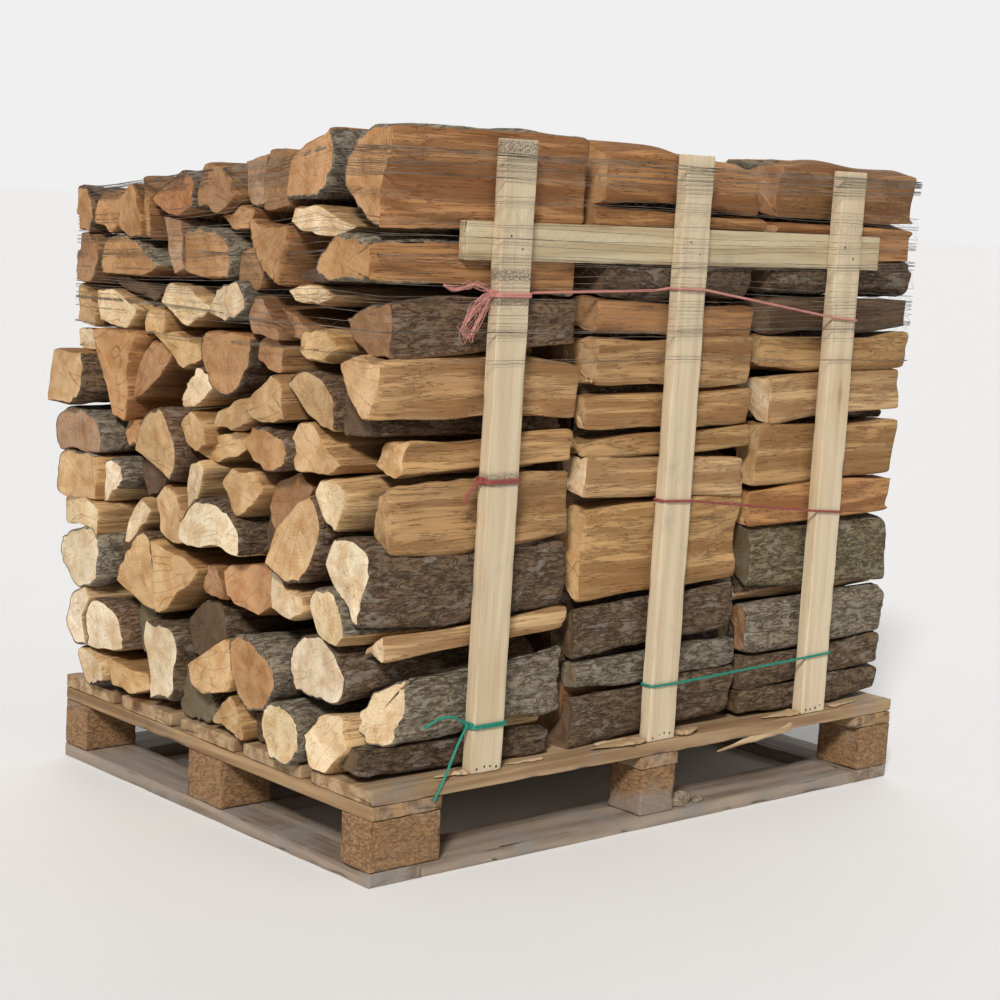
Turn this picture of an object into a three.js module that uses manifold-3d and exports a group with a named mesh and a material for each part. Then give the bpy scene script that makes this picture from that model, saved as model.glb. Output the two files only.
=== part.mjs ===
// Firewood bundle: split logs stacked in three ranks on a wooden pallet, held by sawn uprights and
// battens on both long sides, with twine ties and a net round the upper half.
// Millimetres, +Z up. X runs along the logs and the pallet's length, Y across it. The origin is on
// the floor under the middle of the pallet.

import * as THREE from "three";
import { mergeVertices } from "three/addons/utils/BufferGeometryUtils.js";
import Module from "manifold-3d";

const wasm = await Module();
wasm.setup();

// Driving dimensions
const PALLET = { length: 1200, width: 850, board: 22, block: 78 };
const DECK_WIDTHS = [150, 150, 150, 150, 150];
const BASE_WIDTH = 100;
const GAP = 0.3;
// The three rows of blocks under each stringer, from the -X end: [length along X, width along Y] from
// the -Y side to the +Y side.
const BLOCK_COLUMNS = [
  { stringer: 134, blocks: [[134, 72], [98, 97], [100, 70]] },
  { stringer: 86, blocks: [[78, 76], [86, 100], [86, 75]] },
  { stringer: 100, blocks: [[86, 94], [96, 97], [100, 75]] },
];

const STACK = { front: -389.5, span: 779, drawnFront: -398, drawnSpan: 854 };
const RANKS = [
  { name: "front", from: -597, to: -199 },
  { name: "middle", from: -188, to: 206 },
  { name: "rear", from: 217, to: 594 },
];
const END_SKEW = 28;
const END_WOBBLE = { front: 5, rear: 5 };
const BED = 7;
const CLEAR = 1;

const UPRIGHT = {
  width: 62,
  thick: 22,
  face: 400.3,
  xs: [-379, 2, 382],
  top: [1092, 1088, 1079],
  rearTop: 984,
};
const BATTEN = { from: -458, to: 490, height: 58, thick: 19, middle: 943, rearMiddle: 905 };
const TWINE = {
  radius: 1.4,
  sides: 6,
  lift: 2.6,
  backLift: 1.9,
  knot: 4,
  knotFlat: 0.45,
  edgeKnotFlat: 0.4,
  turnRise: 3.2,
  tieOff: 5,
};
const NET = { bottom: 748, top: 1074, rings: 6, strand: 2, ringDepth: 2.8, laceRise: 0.7 };
// The way the net runs round the load, anticlockwise from above.
const NET_LOOP = [
  [-418, -429],
  [418, -429],
  [636, -401],
  [636, 401],
  [418, 429],
  [-418, 429],
  [-636, 401],
  [-636, -401],
];
// Its upright strands: how far along X, and which long side.
const NET_LACES = [[-560, -1], [-200, -1], [200, -1], [560, -1], [560, 1], [200, 1], [-200, 1], [-560, 1]];

// Derived heights and faces
const BASE_TOP = PALLET.board;
const BLOCK_TOP = BASE_TOP + PALLET.block;
const STRINGER_TOP = BLOCK_TOP + PALLET.board;
const DECK_TOP = STRINGER_TOP + PALLET.board;
const FRAME_FACE = UPRIGHT.face;
const FRAME_FRONT = FRAME_FACE + UPRIGHT.thick;
const WHOLE_LENGTH = 700;

// Every log is drawn as the outline of its section, seen along its grain: [y, z] points, going up
// the stack course by course, from the +Y side to the -Y side. inset moves its sawn end back from
// the face of the stack, or out of it where it is negative.
const log = (outline, inset = 0) => ({ outline, inset });

const INNER_COURSES = [
  [
    log([[428, 200], [404, 212], [320, 206], [314, 166], [392, 150], [416, 172]]),
    log([[316, 204], [252, 190], [208, 198], [208, 168], [262, 150], [312, 158]], 12),
    log([[206, 262], [196, 292], [118, 288], [106, 258], [132, 166], [200, 156]]),
    log([[116, 214], [100, 246], [70, 240], [14, 168], [40, 150], [124, 152]], 22),
    log([[8, 160], [-16, 192], [-46, 208], [-76, 188], [-90, 152]], 6),
    log([[-80, 188], [-104, 198], [-172, 176], [-178, 152], [-94, 152]], 26),
    log([[-164, 200], [-180, 232], [-216, 240], [-264, 224], [-268, 176], [-238, 150], [-190, 148]], -18),
    log([[-268, 196], [-300, 230], [-352, 236], [-366, 198], [-344, 178], [-318, 150], [-290, 154]], -8),
    log([[436, 252], [414, 304], [372, 324], [358, 302], [384, 270], [380, 222], [414, 218]], -8),
    log([[380, 276], [356, 300], [298, 297], [270, 272], [266, 226], [306, 214], [376, 216]], -6),
    log([[264, 318], [214, 314], [206, 268], [212, 232], [262, 230], [268, 272]], 30),
  ],
  [
    log([[72, 242], [30, 266], [-24, 298], [-50, 286], [-52, 230], [16, 206], [52, 214]]),
    log([[-56, 262], [-66, 312], [-126, 318], [-188, 288], [-184, 246], [-146, 214], [-104, 202],
      [-72, 218]], -8),
    log([[-188, 284], [-206, 322], [-268, 348], [-326, 324], [-364, 292], [-346, 262],
      [-290, 250], [-214, 248]]),
    log([[128, 305], [62, 346], [10, 348], [-8, 296], [22, 270], [72, 252], [108, 262]], 28),
    log([[452, 376], [448, 398], [362, 426], [334, 402], [340, 336], [392, 322], [432, 344]], -18),
    log([[332, 400], [286, 398], [290, 352], [338, 336]], 36),
    log([[288, 350], [258, 402], [216, 438], [192, 430], [178, 386], [172, 314], [208, 318]], -6),
    log([[176, 388], [186, 426], [76, 408], [44, 394], [112, 344], [166, 316]]),
    log([[48, 358], [34, 404], [6, 404], [-10, 356]], 10),
    log([[6, 400], [-12, 412], [-136, 424], [-146, 370], [-110, 346], [-16, 362]], 14),
    log([[-148, 370], [-146, 430], [-166, 438], [-186, 412], [-244, 404], [-248, 384], [-212, 362]]),
    log([[-248, 392], [-264, 416], [-326, 418], [-372, 364], [-350, 342], [-300, 346]], -6),
  ],
  [
    log([[456, 416], [448, 456], [376, 468], [326, 452], [342, 410], [368, 422]], -12),
    log([[278, 404], [276, 440], [246, 486], [198, 470], [216, 442], [258, 406]]),
    log([[456, 470], [456, 534], [444, 545], [352, 540], [350, 470]], -16),
    log([[348, 468], [346, 530], [322, 543], [292, 540], [280, 512], [300, 490]], -6),
    log([[276, 516], [278, 545], [236, 548], [162, 526], [196, 506], [248, 484]], 24),
    log([[196, 496], [162, 522], [120, 508], [98, 478], [86, 442], [136, 436], [172, 446]]),
    log([[98, 484], [100, 520], [78, 560], [50, 572], [34, 558], [66, 508]], -4),
    log([[86, 440], [86, 468], [62, 505], [38, 516], [-36, 502], [-78, 476], [-92, 446], [-88, 438]], -14),
    log([[-18, 548], [-40, 568], [-100, 568], [-114, 550], [-78, 508], [-52, 504]]),
    log([[-96, 448], [-86, 480], [-104, 508], [-132, 482], [-150, 470], [-152, 440]], 28),
    log([[-106, 516], [-120, 552], [-180, 575], [-220, 560], [-206, 538], [-162, 498], [-136, 484]], 18),
    log([[-156, 440], [-166, 492], [-206, 538], [-238, 552], [-272, 512], [-266, 458],
      [-240, 424], [-206, 420]], -8),
    log([[-240, 554], [-256, 580], [-290, 586], [-342, 568], [-336, 546], [-302, 504], [-276, 510]]),
  ],
  [
    log([[456, 548], [456, 600], [424, 620], [350, 608], [330, 586], [336, 552]], -20),
    log([[328, 582], [318, 604], [246, 600], [262, 570], [300, 560]], 20),
    log([[268, 562], [240, 602], [196, 632], [150, 645], [124, 618], [98, 588], [122, 532],
      [142, 524]], -8),
    log([[126, 624], [96, 645], [46, 635], [30, 602], [66, 592], [100, 594]]),
    log([[96, 584], [62, 600], [-18, 626], [-66, 622], [-14, 584], [34, 568]], 14),
    log([[20, 655], [26, 632], [-26, 630], [-80, 645], [-88, 685], [-30, 674]]),
    log([[-62, 608], [-88, 640], [-182, 634], [-204, 618], [-196, 590], [-150, 578], [-98, 584]], -6),
    log([[-186, 636], [-202, 656], [-228, 660], [-276, 626], [-318, 608], [-290, 592], [-208, 590]]),
  ],
  [
    log([[456, 712], [456, 742], [368, 750], [358, 714]], 6),
    log([[456, 628], [456, 708], [358, 710], [350, 652], [388, 628]], -44),
    log([[354, 700], [364, 746], [246, 750], [282, 680], [300, 606], [334, 608], [346, 650]], -4),
    log([[242, 745], [162, 736], [172, 712], [226, 672], [280, 640], [282, 676]], 10),
    log([[214, 756], [150, 764], [84, 748], [66, 728], [118, 706], [158, 732]]),
    log([[112, 656], [100, 692], [72, 716], [52, 712], [28, 690], [60, 662], [80, 652]], -4),
    log([[50, 772], [50, 728], [28, 692], [0, 680], [-38, 700], [-64, 736], [-68, 772]]),
    log([[-70, 774], [-72, 742], [-104, 730], [-140, 730], [-148, 766], [-110, 780]], 14),
    log([[-72, 658], [-98, 692], [-140, 722], [-162, 708], [-180, 654], [-120, 648]], -8),
    log([[-160, 714], [-214, 734], [-264, 725], [-294, 700], [-292, 656], [-260, 654], [-212, 680]]),
    log([[-297, 712], [-326, 702], [-366, 658], [-300, 650]], 16),
  ],
  [
    log([[456, 754], [456, 812], [440, 820], [394, 782], [392, 752]]),
    log([[382, 758], [386, 812], [330, 816], [254, 792], [288, 752]]),
    log([[366, 836], [310, 838], [202, 822], [226, 806], [330, 820]], 16),
    log([[250, 786], [222, 802], [180, 798], [186, 766], [238, 756]], 8),
    log([[196, 808], [168, 836], [110, 836], [40, 814], [60, 800], [106, 776], [140, 788]]),
    log([[42, 804], [20, 836], [-36, 850], [-58, 826], [-48, 802], [0, 792]], -4),
    log([[-62, 802], [-78, 832], [-100, 830], [-148, 790], [-144, 774], [-82, 780]]),
    log([[-112, 822], [-160, 812], [-204, 790], [-198, 774], [-152, 784]], 20),
    log([[-202, 762], [-212, 788], [-245, 800], [-300, 790], [-302, 772], [-268, 752], [-225, 746]], -4),
    log([[-150, 848], [-180, 862], [-258, 860], [-286, 850], [-240, 830], [-172, 832]], 6),
    log([[456, 824], [456, 905], [416, 898], [380, 864], [404, 828]]),
    log([[370, 846], [366, 892], [330, 906], [294, 902], [202, 862], [244, 842], [320, 842]], -4),
    log([[206, 942], [152, 936], [138, 862], [166, 850], [186, 888]], 6),
    log([[130, 925], [60, 932], [12, 925], [-10, 905], [-8, 858], [60, 854], [134, 860]]),
    log([[-12, 905], [-58, 912], [-84, 888], [-60, 852], [-12, 854]], 14),
    log([[-60, 948], [-80, 902], [-120, 864], [-146, 852], [-160, 892], [-166, 945]], -6),
    log([[-170, 872], [-250, 896], [-260, 868], [-200, 864]], 10),
  ],
  [
    log([[456, 910], [456, 976], [426, 976], [400, 940], [412, 906]]),
    log([[398, 930], [396, 964], [370, 980], [326, 972], [322, 926], [350, 912]]),
    log([[318, 924], [318, 966], [280, 990], [264, 980], [254, 910], [290, 908]], -4),
    log([[262, 1008], [248, 1002], [232, 906], [250, 912]], 6),
    log([[236, 968], [194, 990], [142, 1014], [100, 1006], [96, 956], [150, 944]]),
    log([[96, 1004], [76, 1028], [20, 1030], [-8, 1010], [-14, 978], [36, 958], [90, 964]], -4),
    log([[40, 952], [-14, 972], [-54, 968], [-44, 940], [10, 934]], 8),
    log([[-12, 1040], [-20, 986], [-50, 974], [-76, 986], [-76, 1050]], 12),
    log([[-78, 1012], [-98, 1050], [-152, 1050], [-154, 974], [-84, 968]]),
    log([[-156, 986], [-160, 1040], [-190, 1058], [-262, 1092], [-276, 1050], [-262, 1008],
      [-236, 986]], -8),
    log([[-166, 954], [-176, 978], [-240, 978], [-332, 958], [-290, 940], [-200, 942]]),
  ],
];

// The column of logs on the -Y side, which differs from rank to rank, course by course.
const SIDE_COURSES = {
  front: [
    [log([[-346, 172], [-366, 194], [-398, 190], [-398, 150], [-330, 150]], 4)],
    [
      log([[-350, 238], [-360, 280], [-398, 312], [-398, 204], [-372, 202]], 52),
      log([[-376, 366], [-398, 372], [-398, 338], [-352, 338]], 30),
    ],
    [
      log([[-288, 458], [-306, 492], [-345, 500], [-388, 484], [-398, 458], [-398, 380],
        [-384, 376], [-350, 414]]),
      log([[-342, 508], [-352, 552], [-372, 580], [-398, 594], [-398, 490], [-372, 500]], 36),
    ],
    [log([[-344, 642], [-398, 652], [-398, 606], [-356, 600], [-322, 612]], 58)],
    [log([[-302, 750], [-328, 708], [-370, 674], [-398, 676], [-398, 764], [-350, 768]])],
    [
      log([[-284, 826], [-312, 842], [-392, 856], [-398, 852], [-398, 776], [-342, 770], [-304, 798]], 20),
      log([[-252, 892], [-300, 930], [-350, 938], [-398, 934], [-398, 866], [-330, 870], [-262, 868]], -22),
    ],
    [log([[-282, 1010], [-290, 1054], [-332, 1094], [-398, 1102], [-398, 958], [-384, 960], [-324, 986]])],
  ],
  middle: [
    [log([[-370, 202], [-376, 236], [-398, 230], [-398, 150], [-330, 150]])],
    [
      log([[-356, 242], [-350, 258], [-370, 290], [-398, 288], [-398, 238]]),
      log([[-370, 298], [-330, 328], [-350, 338], [-376, 366], [-384, 384], [-398, 380], [-398, 296]]),
    ],
    [
      log([[-386, 388], [-398, 392], [-398, 532], [-340, 540], [-306, 500], [-276, 500],
        [-274, 458], [-330, 424]]),
      log([[-346, 548], [-398, 540], [-398, 606], [-324, 604], [-348, 574]]),
    ],
    [log([[-320, 614], [-398, 612], [-398, 648], [-300, 646], [-282, 632]])],
    [log([[-372, 660], [-398, 654], [-398, 712], [-310, 716], [-336, 696]])],
    [
      log([[-300, 722], [-398, 718], [-398, 798], [-306, 794], [-306, 768], [-274, 748]]),
      log([[-250, 806], [-398, 802], [-398, 854], [-292, 848], [-244, 826]]),
      log([[-262, 870], [-292, 856], [-398, 860], [-398, 920], [-306, 926], [-254, 896]]),
    ],
    [
      log([[-300, 934], [-398, 926], [-398, 996], [-266, 1002], [-262, 984], [-306, 962]]),
      log([[-268, 1012], [-398, 1002], [-398, 1078], [-340, 1092], [-284, 1080], [-280, 1052]]),
    ],
  ],
  rear: [
    [log([[-366, 196], [-398, 196], [-398, 150], [-330, 150]])],
    [
      log([[-370, 202], [-366, 238], [-360, 256], [-398, 252], [-398, 200]]),
      log([[-356, 262], [-398, 258], [-398, 338], [-374, 350], [-334, 328], [-368, 296]]),
    ],
    [
      log([[-378, 366], [-398, 358], [-398, 470], [-340, 482], [-280, 470], [-276, 430], [-332, 424]]),
      log([[-280, 478], [-340, 488], [-398, 478], [-398, 546], [-344, 546], [-304, 504]]),
    ],
    [log([[-350, 552], [-398, 552], [-398, 650], [-304, 648], [-292, 630], [-342, 600]])],
    [log([[-372, 664], [-398, 660], [-398, 734], [-304, 728], [-304, 716], [-330, 704]])],
    [
      log([[-300, 734], [-398, 742], [-398, 802], [-306, 796], [-306, 768], [-274, 748]]),
      log([[-250, 806], [-398, 808], [-398, 866], [-292, 856], [-244, 826]]),
      log([[-262, 872], [-398, 872], [-398, 924], [-306, 928], [-254, 896]]),
    ],
    [
      log([[-300, 934], [-398, 930], [-398, 984], [-266, 1002], [-262, 984], [-306, 962]]),
      log([[-268, 1012], [-398, 990], [-398, 1080], [-340, 1088], [-284, 1080], [-280, 1052]]),
    ],
  ],
};

// Materials
const paint = (color, roughness) => new THREE.MeshStandardMaterial({ color, roughness, metalness: 0 });
const boardWood = paint(0xa98960, 0.85);
const chipWood = paint(0x8f6f48, 0.95);
const sawnWood = paint(0xcdb285, 0.8);
const twinePaint = { low: paint(0x1f8a72, 0.6), mid: paint(0x9c4038, 0.6), high: paint(0xd98070, 0.6) };
const netPaint = paint(0xb9aca0, 0.6);
const logPaint = { front: paint(0xb98a52, 0.9), middle: paint(0x9c7244, 0.9), rear: paint(0x8a6a44, 0.9) };

const object = new THREE.Group();

function addMesh(name, geometry, material, position = [0, 0, 0]) {
  const mesh = new THREE.Mesh(geometry, material);
  mesh.name = name;
  mesh.position.set(...position);
  object.add(mesh);
}

// A straight piece of wood between two corners.
function addBoard(name, low, high, material) {
  const size = high.map((value, axis) => value - low[axis]);
  const middle = high.map((value, axis) => (value + low[axis]) / 2);
  addMesh(name, new THREE.BoxGeometry(...size), material, middle);
}

// Solids that are joined or cut pass through these two.
function toSolid(geometry) {
  const bare = geometry.clone();
  bare.deleteAttribute("normal");
  bare.deleteAttribute("uv");
  const merged = mergeVertices(bare);
  const vertProperties = new Float32Array(merged.attributes.position.array);
  const triVerts = new Uint32Array(merged.index.array);
  return new wasm.Manifold(new wasm.Mesh({ numProp: 3, vertProperties, triVerts }));
}

function toGeometry(solid) {
  const made = solid.getMesh();
  const geometry = new THREE.BufferGeometry();
  geometry.setAttribute("position", new THREE.BufferAttribute(new Float32Array(made.vertProperties), 3));
  geometry.setIndex(new THREE.BufferAttribute(new Uint32Array(made.triVerts), 1));
  geometry.computeVertexNormals();
  return geometry;
}

const joined = (solids) => solids.reduce((sum, solid) => sum.add(solid));

// Pallet: bottom boards round the edge and down the middle, nine blocks, three stringers across, and
// the deck boards along the logs.
function addPallet() {
  const halfLength = PALLET.length / 2;
  const halfWidth = PALLET.width / 2;
  const baseRows = [-halfWidth, -BASE_WIDTH / 2, halfWidth - BASE_WIDTH];
  baseRows.forEach((y, row) => {
    const from = -halfLength + BASE_WIDTH + GAP;
    addBoard(`pallet_base_long_${row + 1}`, [from, y, 0], [-from, y + BASE_WIDTH, BASE_TOP], boardWood);
  });
  [-1, 1].forEach((side, end) => {
    const middle = side * (halfLength - BASE_WIDTH / 2);
    addBoard(
      `pallet_base_end_${end + 1}`,
      [middle - BASE_WIDTH / 2, -halfWidth, 0],
      [middle + BASE_WIDTH / 2, halfWidth, BASE_TOP],
      boardWood,
    );
  });
  BLOCK_COLUMNS.forEach((column, i) => {
    column.blocks.forEach(([long, wide], j) => {
      const x = (i - 1) * (halfLength - long / 2);
      const y = (j - 1) * (halfWidth - wide / 2);
      addBoard(
        `pallet_block_${i + 1}_${j + 1}`,
        [x - long / 2, y - wide / 2, BASE_TOP + GAP],
        [x + long / 2, y + wide / 2, BLOCK_TOP],
        chipWood,
      );
    });
    const middle = (i - 1) * (halfLength - column.stringer / 2);
    addBoard(
      `pallet_stringer_${i + 1}`,
      [middle - column.stringer / 2, -halfWidth, BLOCK_TOP + GAP],
      [middle + column.stringer / 2, halfWidth, STRINGER_TOP],
      boardWood,
    );
  });
  const wood = DECK_WIDTHS.reduce((sum, width) => sum + width, 0);
  const space = (PALLET.width - wood) / (DECK_WIDTHS.length - 1);
  let y = -halfWidth;
  DECK_WIDTHS.forEach((width, i) => {
    addBoard(
      `pallet_deck_${i + 1}`,
      [-halfLength, y, STRINGER_TOP + GAP],
      [halfLength, y + width, DECK_TOP],
      boardWood,
    );
    y += width + space;
  });
}

// Uprights stand on the deck's long edges, and a batten runs behind them against the logs.
const SIDES = [
  { name: "front", sign: -1, battenMiddle: BATTEN.middle, tops: UPRIGHT.top },
  { name: "rear", sign: 1, battenMiddle: BATTEN.rearMiddle, tops: UPRIGHT.top.map(() => UPRIGHT.rearTop) },
];

function battenBox(side) {
  const outer = side.sign * (FRAME_FACE - GAP);
  const inner = side.sign * (FRAME_FACE - BATTEN.thick);
  const low = side.battenMiddle - BATTEN.height / 2;
  return {
    low: [BATTEN.from, Math.min(outer, inner), low],
    high: [BATTEN.to, Math.max(outer, inner), low + BATTEN.height],
  };
}

function addFrames() {
  for (const side of SIDES) {
    UPRIGHT.xs.forEach((x, i) => {
      const near = side.sign * FRAME_FACE;
      const far = side.sign * FRAME_FRONT;
      addBoard(
        `upright_${side.name}_${i + 1}`,
        [x - UPRIGHT.width / 2, Math.min(near, far), DECK_TOP + GAP],
        [x + UPRIGHT.width / 2, Math.max(near, far), side.tops[i]],
        sawnWood,
      );
    });
    const box = battenBox(side);
    addBoard(`batten_${side.name}`, box.low, box.high, sawnWood);
  }
}

// A log: its outline, fitted to the width of the stack and swollen a little so that neighbours bed
// into each other, carried from one end of the rank to the other.
function fitOutline(outline, swell) {
  const scale = STACK.span / STACK.drawnSpan;
  const points = outline.map(([y, z]) => [STACK.front + (y - STACK.drawnFront) * scale, z]);
  const middleY = points.reduce((sum, point) => sum + point[0], 0) / points.length;
  const middleZ = points.reduce((sum, point) => sum + point[1], 0) / points.length;
  return points.map(([y, z]) => {
    const reach = Math.hypot(y - middleY, z - middleZ);
    const grow = (reach + swell) / reach;
    const grownY = middleY + (y - middleY) * grow;
    const grownZ = middleZ + (z - middleZ) * grow;
    const edge = -STACK.front + BED;
    return [Math.min(Math.max(grownY, -edge), edge), Math.max(grownZ, DECK_TOP + GAP)];
  });
}

function logPrism(outline, from, to) {
  const shape = new THREE.Shape(outline.map(([y, z]) => new THREE.Vector2(y, z)));
  const geometry = new THREE.ExtrudeGeometry(shape, { depth: to - from, bevelEnabled: false, steps: 1 });
  // The outline's own x and y become the object's Y and Z, and the depth runs along X.
  const basis = new THREE.Matrix4().makeBasis(
    new THREE.Vector3(0, 1, 0),
    new THREE.Vector3(0, 0, 1),
    new THREE.Vector3(1, 0, 0),
  );
  geometry.applyMatrix4(basis);
  geometry.translate(from, 0, 0);
  return toSolid(geometry);
}

// The sawn ends in the two outer faces stand a few millimetres in or out of each other, always the
// same way. The ends between two ranks are level.
let seed = 17;
function wobble(reach) {
  seed = (seed * 1103515245 + 12345) % 2147483648;
  return (seed / 2147483648 - 0.5) * 2 * reach;
}

// The far corners of the stack lean out past the near ones by END_SKEW.
const skew = (outline) => (END_SKEW * (outline[0][0] - STACK.drawnFront)) / STACK.drawnSpan;

function logEnds(rank, { outline, inset }) {
  if (rank.name === "front") {
    return [rank.from + inset - skew(outline) + wobble(END_WOBBLE.front), rank.to];
  }
  if (rank.name === "rear") {
    return [rank.from, rank.to - inset + skew(outline) + wobble(END_WOBBLE.rear)];
  }
  return [rank.from, rank.to];
}

function addLogs() {
  const battens = SIDES.map((side) => {
    const { low, high } = battenBox(side);
    const room = high.map((value, axis) => value - low[axis] + 2 * GAP);
    const box = new THREE.BoxGeometry(2 * WHOLE_LENGTH, room[1], room[2]);
    box.translate(...high.map((value, axis) => (value + low[axis]) / 2));
    return toSolid(box);
  });
  for (const rank of RANKS) {
    let laid = null;
    INNER_COURSES.forEach((inner, course) => {
      const logs = [...inner, ...SIDE_COURSES[rank.name][course]];
      const pieces = logs.map((piece) => {
        const [from, to] = logEnds(rank, piece);
        return logPrism(fitOutline(piece.outline, BED), from, to);
      });
      let solid = joined(pieces);
      if (laid) {
        solid = solid.subtract(laid);
      }
      for (const batten of battens) {
        solid = solid.subtract(batten);
      }
      addMesh(`logs_${rank.name}_${course + 1}`, toGeometry(solid), logPaint[rank.name]);
      const beds = logs.map((piece) =>
        logPrism(fitOutline(piece.outline, BED + CLEAR), -WHOLE_LENGTH, WHOLE_LENGTH),
      );
      laid = laid ? laid.add(joined(beds)) : joined(beds);
    });
  }
}

// A route whose own points are the only places where the twine turns.
class TwineRoute extends THREE.Curve {
  constructor(points) {
    super();
    this.points = points.map((point) => new THREE.Vector3(...point));
  }

  getPoint(t) {
    const place = t * (this.points.length - 1);
    const before = Math.min(Math.floor(place), this.points.length - 2);
    return this.points[before].clone().lerp(this.points[before + 1], place - before);
  }

  getPointAt(t) {
    return this.getPoint(t);
  }

  getTangentAt(t) {
    const step = 0.5 / (this.points.length - 1);
    const ahead = this.getPoint(Math.min(1, t + step));
    return ahead.sub(this.getPoint(Math.max(0, t - step))).normalize();
  }
}

function twineTube(points) {
  const section = new THREE.Shape();
  for (let i = 0; i < TWINE.sides; i += 1) {
    const angle = (2 * Math.PI * i) / TWINE.sides;
    const corner = [TWINE.radius * Math.cos(angle), TWINE.radius * Math.sin(angle)];
    if (i === 0) {
      section.moveTo(...corner);
    } else {
      section.lineTo(...corner);
    }
  }
  const extrudePath = new TwineRoute(points);
  return toSolid(new THREE.ExtrudeGeometry(section, { steps: points.length - 1, extrudePath }));
}

function knot(at, flat = 1) {
  const lump = new THREE.IcosahedronGeometry(TWINE.knot, 0);
  lump.scale(1, flat, 1);
  lump.translate(...at);
  return toSolid(lump);
}

// Stretches of twine round one upright: across its outer face, and round it from behind.
const acrossFace = (side, x, z, drop = 0) => {
  const half = UPRIGHT.width / 2;
  const outer = side * (FRAME_FRONT + TWINE.lift);
  return [[x - half, outer, z], [x + half, outer, z + drop]];
};
const leftEdge = (side, x, z) => {
  const edge = x - UPRIGHT.width / 2 - TWINE.lift;
  return [[edge, side * FRAME_FACE, z], [edge, side * FRAME_FRONT, z]];
};
const rightEdge = (side, x, z) => {
  const edge = x + UPRIGHT.width / 2 + TWINE.lift;
  return [[edge, side * FRAME_FRONT, z], [edge, side * FRAME_FACE, z]];
};
const behind = (side, x, z) => [x, side * (FRAME_FACE - TWINE.backLift), z];

// A twine turned twice round one upright, tied at its left edge.
function turns(side, x, z, rise) {
  const half = UPRIGHT.width / 2;
  const route = [];
  for (let turn = 0; turn < 2; turn += 1) {
    const at = z + turn * rise;
    route.push(...leftEdge(side, x, at), ...acrossFace(side, x, at), ...rightEdge(side, x, at));
    route.push(behind(side, x + half, at), behind(side, x - half, at + rise));
  }
  route.push(...leftEdge(side, x, z + 2 * rise));
  return twineTube(route);
}

// A twine drawn tight over the outer faces of a run of uprights, knotted behind the first and last.
function tautTwine(side, stops) {
  const half = UPRIGHT.width / 2;
  const [first, last] = [stops[0], stops[stops.length - 1]];
  const start = behind(side, first.x, first.z);
  const end = behind(side, last.x, last.z + (last.drop ?? 0));
  const route = [start, behind(side, first.x - half, first.z), ...leftEdge(side, first.x, first.z)];
  for (const { x, z, drop } of stops) {
    route.push(...acrossFace(side, x, z, drop));
  }
  route.push(...rightEdge(side, last.x, end[2]), behind(side, last.x + half, end[2]), end);
  return [twineTube(route), knot(start, TWINE.knotFlat), knot(end, TWINE.knotFlat)];
}

function addTwines() {
  const [first, second, third] = UPRIGHT.xs;
  const edge = first - UPRIGHT.width / 2 - TWINE.tieOff;
  const lowTail = [
    [edge, -412, 218],
    [-432, -415, 196],
    [-452, -422, 168],
    [-468, -427.4, 146],
    [-484, -427.2, 118],
  ];
  const lowTie = [
    turns(-1, first, 216, TWINE.turnRise),
    knot([edge, -412, 219]),
    twineTube([[edge, -412, 220], [-446, -416, 238], [-470, -410, 236], [-490, -406, 224]]),
    knot([-490, -406, 224]),
    twineTube(lowTail),
    knot(lowTail.at(-1), TWINE.edgeKnotFlat),
  ];
  addMesh("twine_low_tie", toGeometry(joined(lowTie)), twinePaint.low);
  const low = tautTwine(-1, [{ x: second, z: 238 }, { x: third, z: 247, drop: 2 }]);
  addMesh("twine_low_line", toGeometry(joined(low)), twinePaint.low);

  const midTie = [
    turns(-1, first, 588, TWINE.turnRise),
    knot([edge, -412, 591]),
    twineTube([[edge, -412, 591], [-434, -411, 576], [-442, -407, 556]]),
    knot([-442, -407, 556]),
  ];
  addMesh("twine_mid_tie", toGeometry(joined(midTie)), twinePaint.mid);
  const mid = tautTwine(-1, [{ x: second, z: 541, drop: -3 }, { x: third, z: 503, drop: -5 }]);
  addMesh("twine_mid_line", toGeometry(joined(mid)), twinePaint.mid);

  const bow = [
    [edge, -412, 867],
    [-448, -411, 844],
    [-466, -408, 816],
    [-450, -405, 798],
    [edge, -410, 864],
  ];
  const highTie = [
    turns(-1, first, 864, TWINE.turnRise),
    knot([edge, -412, 867]),
    twineTube(bow),
    twineTube([[edge, -411, 868], [-446, -410, 882], [-480, -405, 870], [-500, -403, 878]]),
    knot([-500, -403, 878]),
  ];
  const highLine = [
    behind(-1, first + 10, 867),
    behind(-1, second - UPRIGHT.width / 2 - 30, 874),
    ...leftEdge(-1, second, 878),
    ...acrossFace(-1, second, 879, -2),
    ...acrossFace(-1, third, 834, -5),
    ...rightEdge(-1, third, 829),
    behind(-1, third + UPRIGHT.width / 2, 829),
    behind(-1, third, 828),
  ];
  highTie.push(twineTube(highLine), knot(highLine.at(-1), TWINE.knotFlat));
  addMesh("twine_high_tie", toGeometry(joined(highTie)), twinePaint.high);

  [["low", 240], ["mid", 540], ["high", 850]].forEach(([level, z]) => {
    const line = tautTwine(1, UPRIGHT.xs.map((x, i) => ({ x, z: z - 6 * i })));
    addMesh(`twine_rear_${level}`, toGeometry(joined(line)), twinePaint[level]);
  });
}

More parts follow.
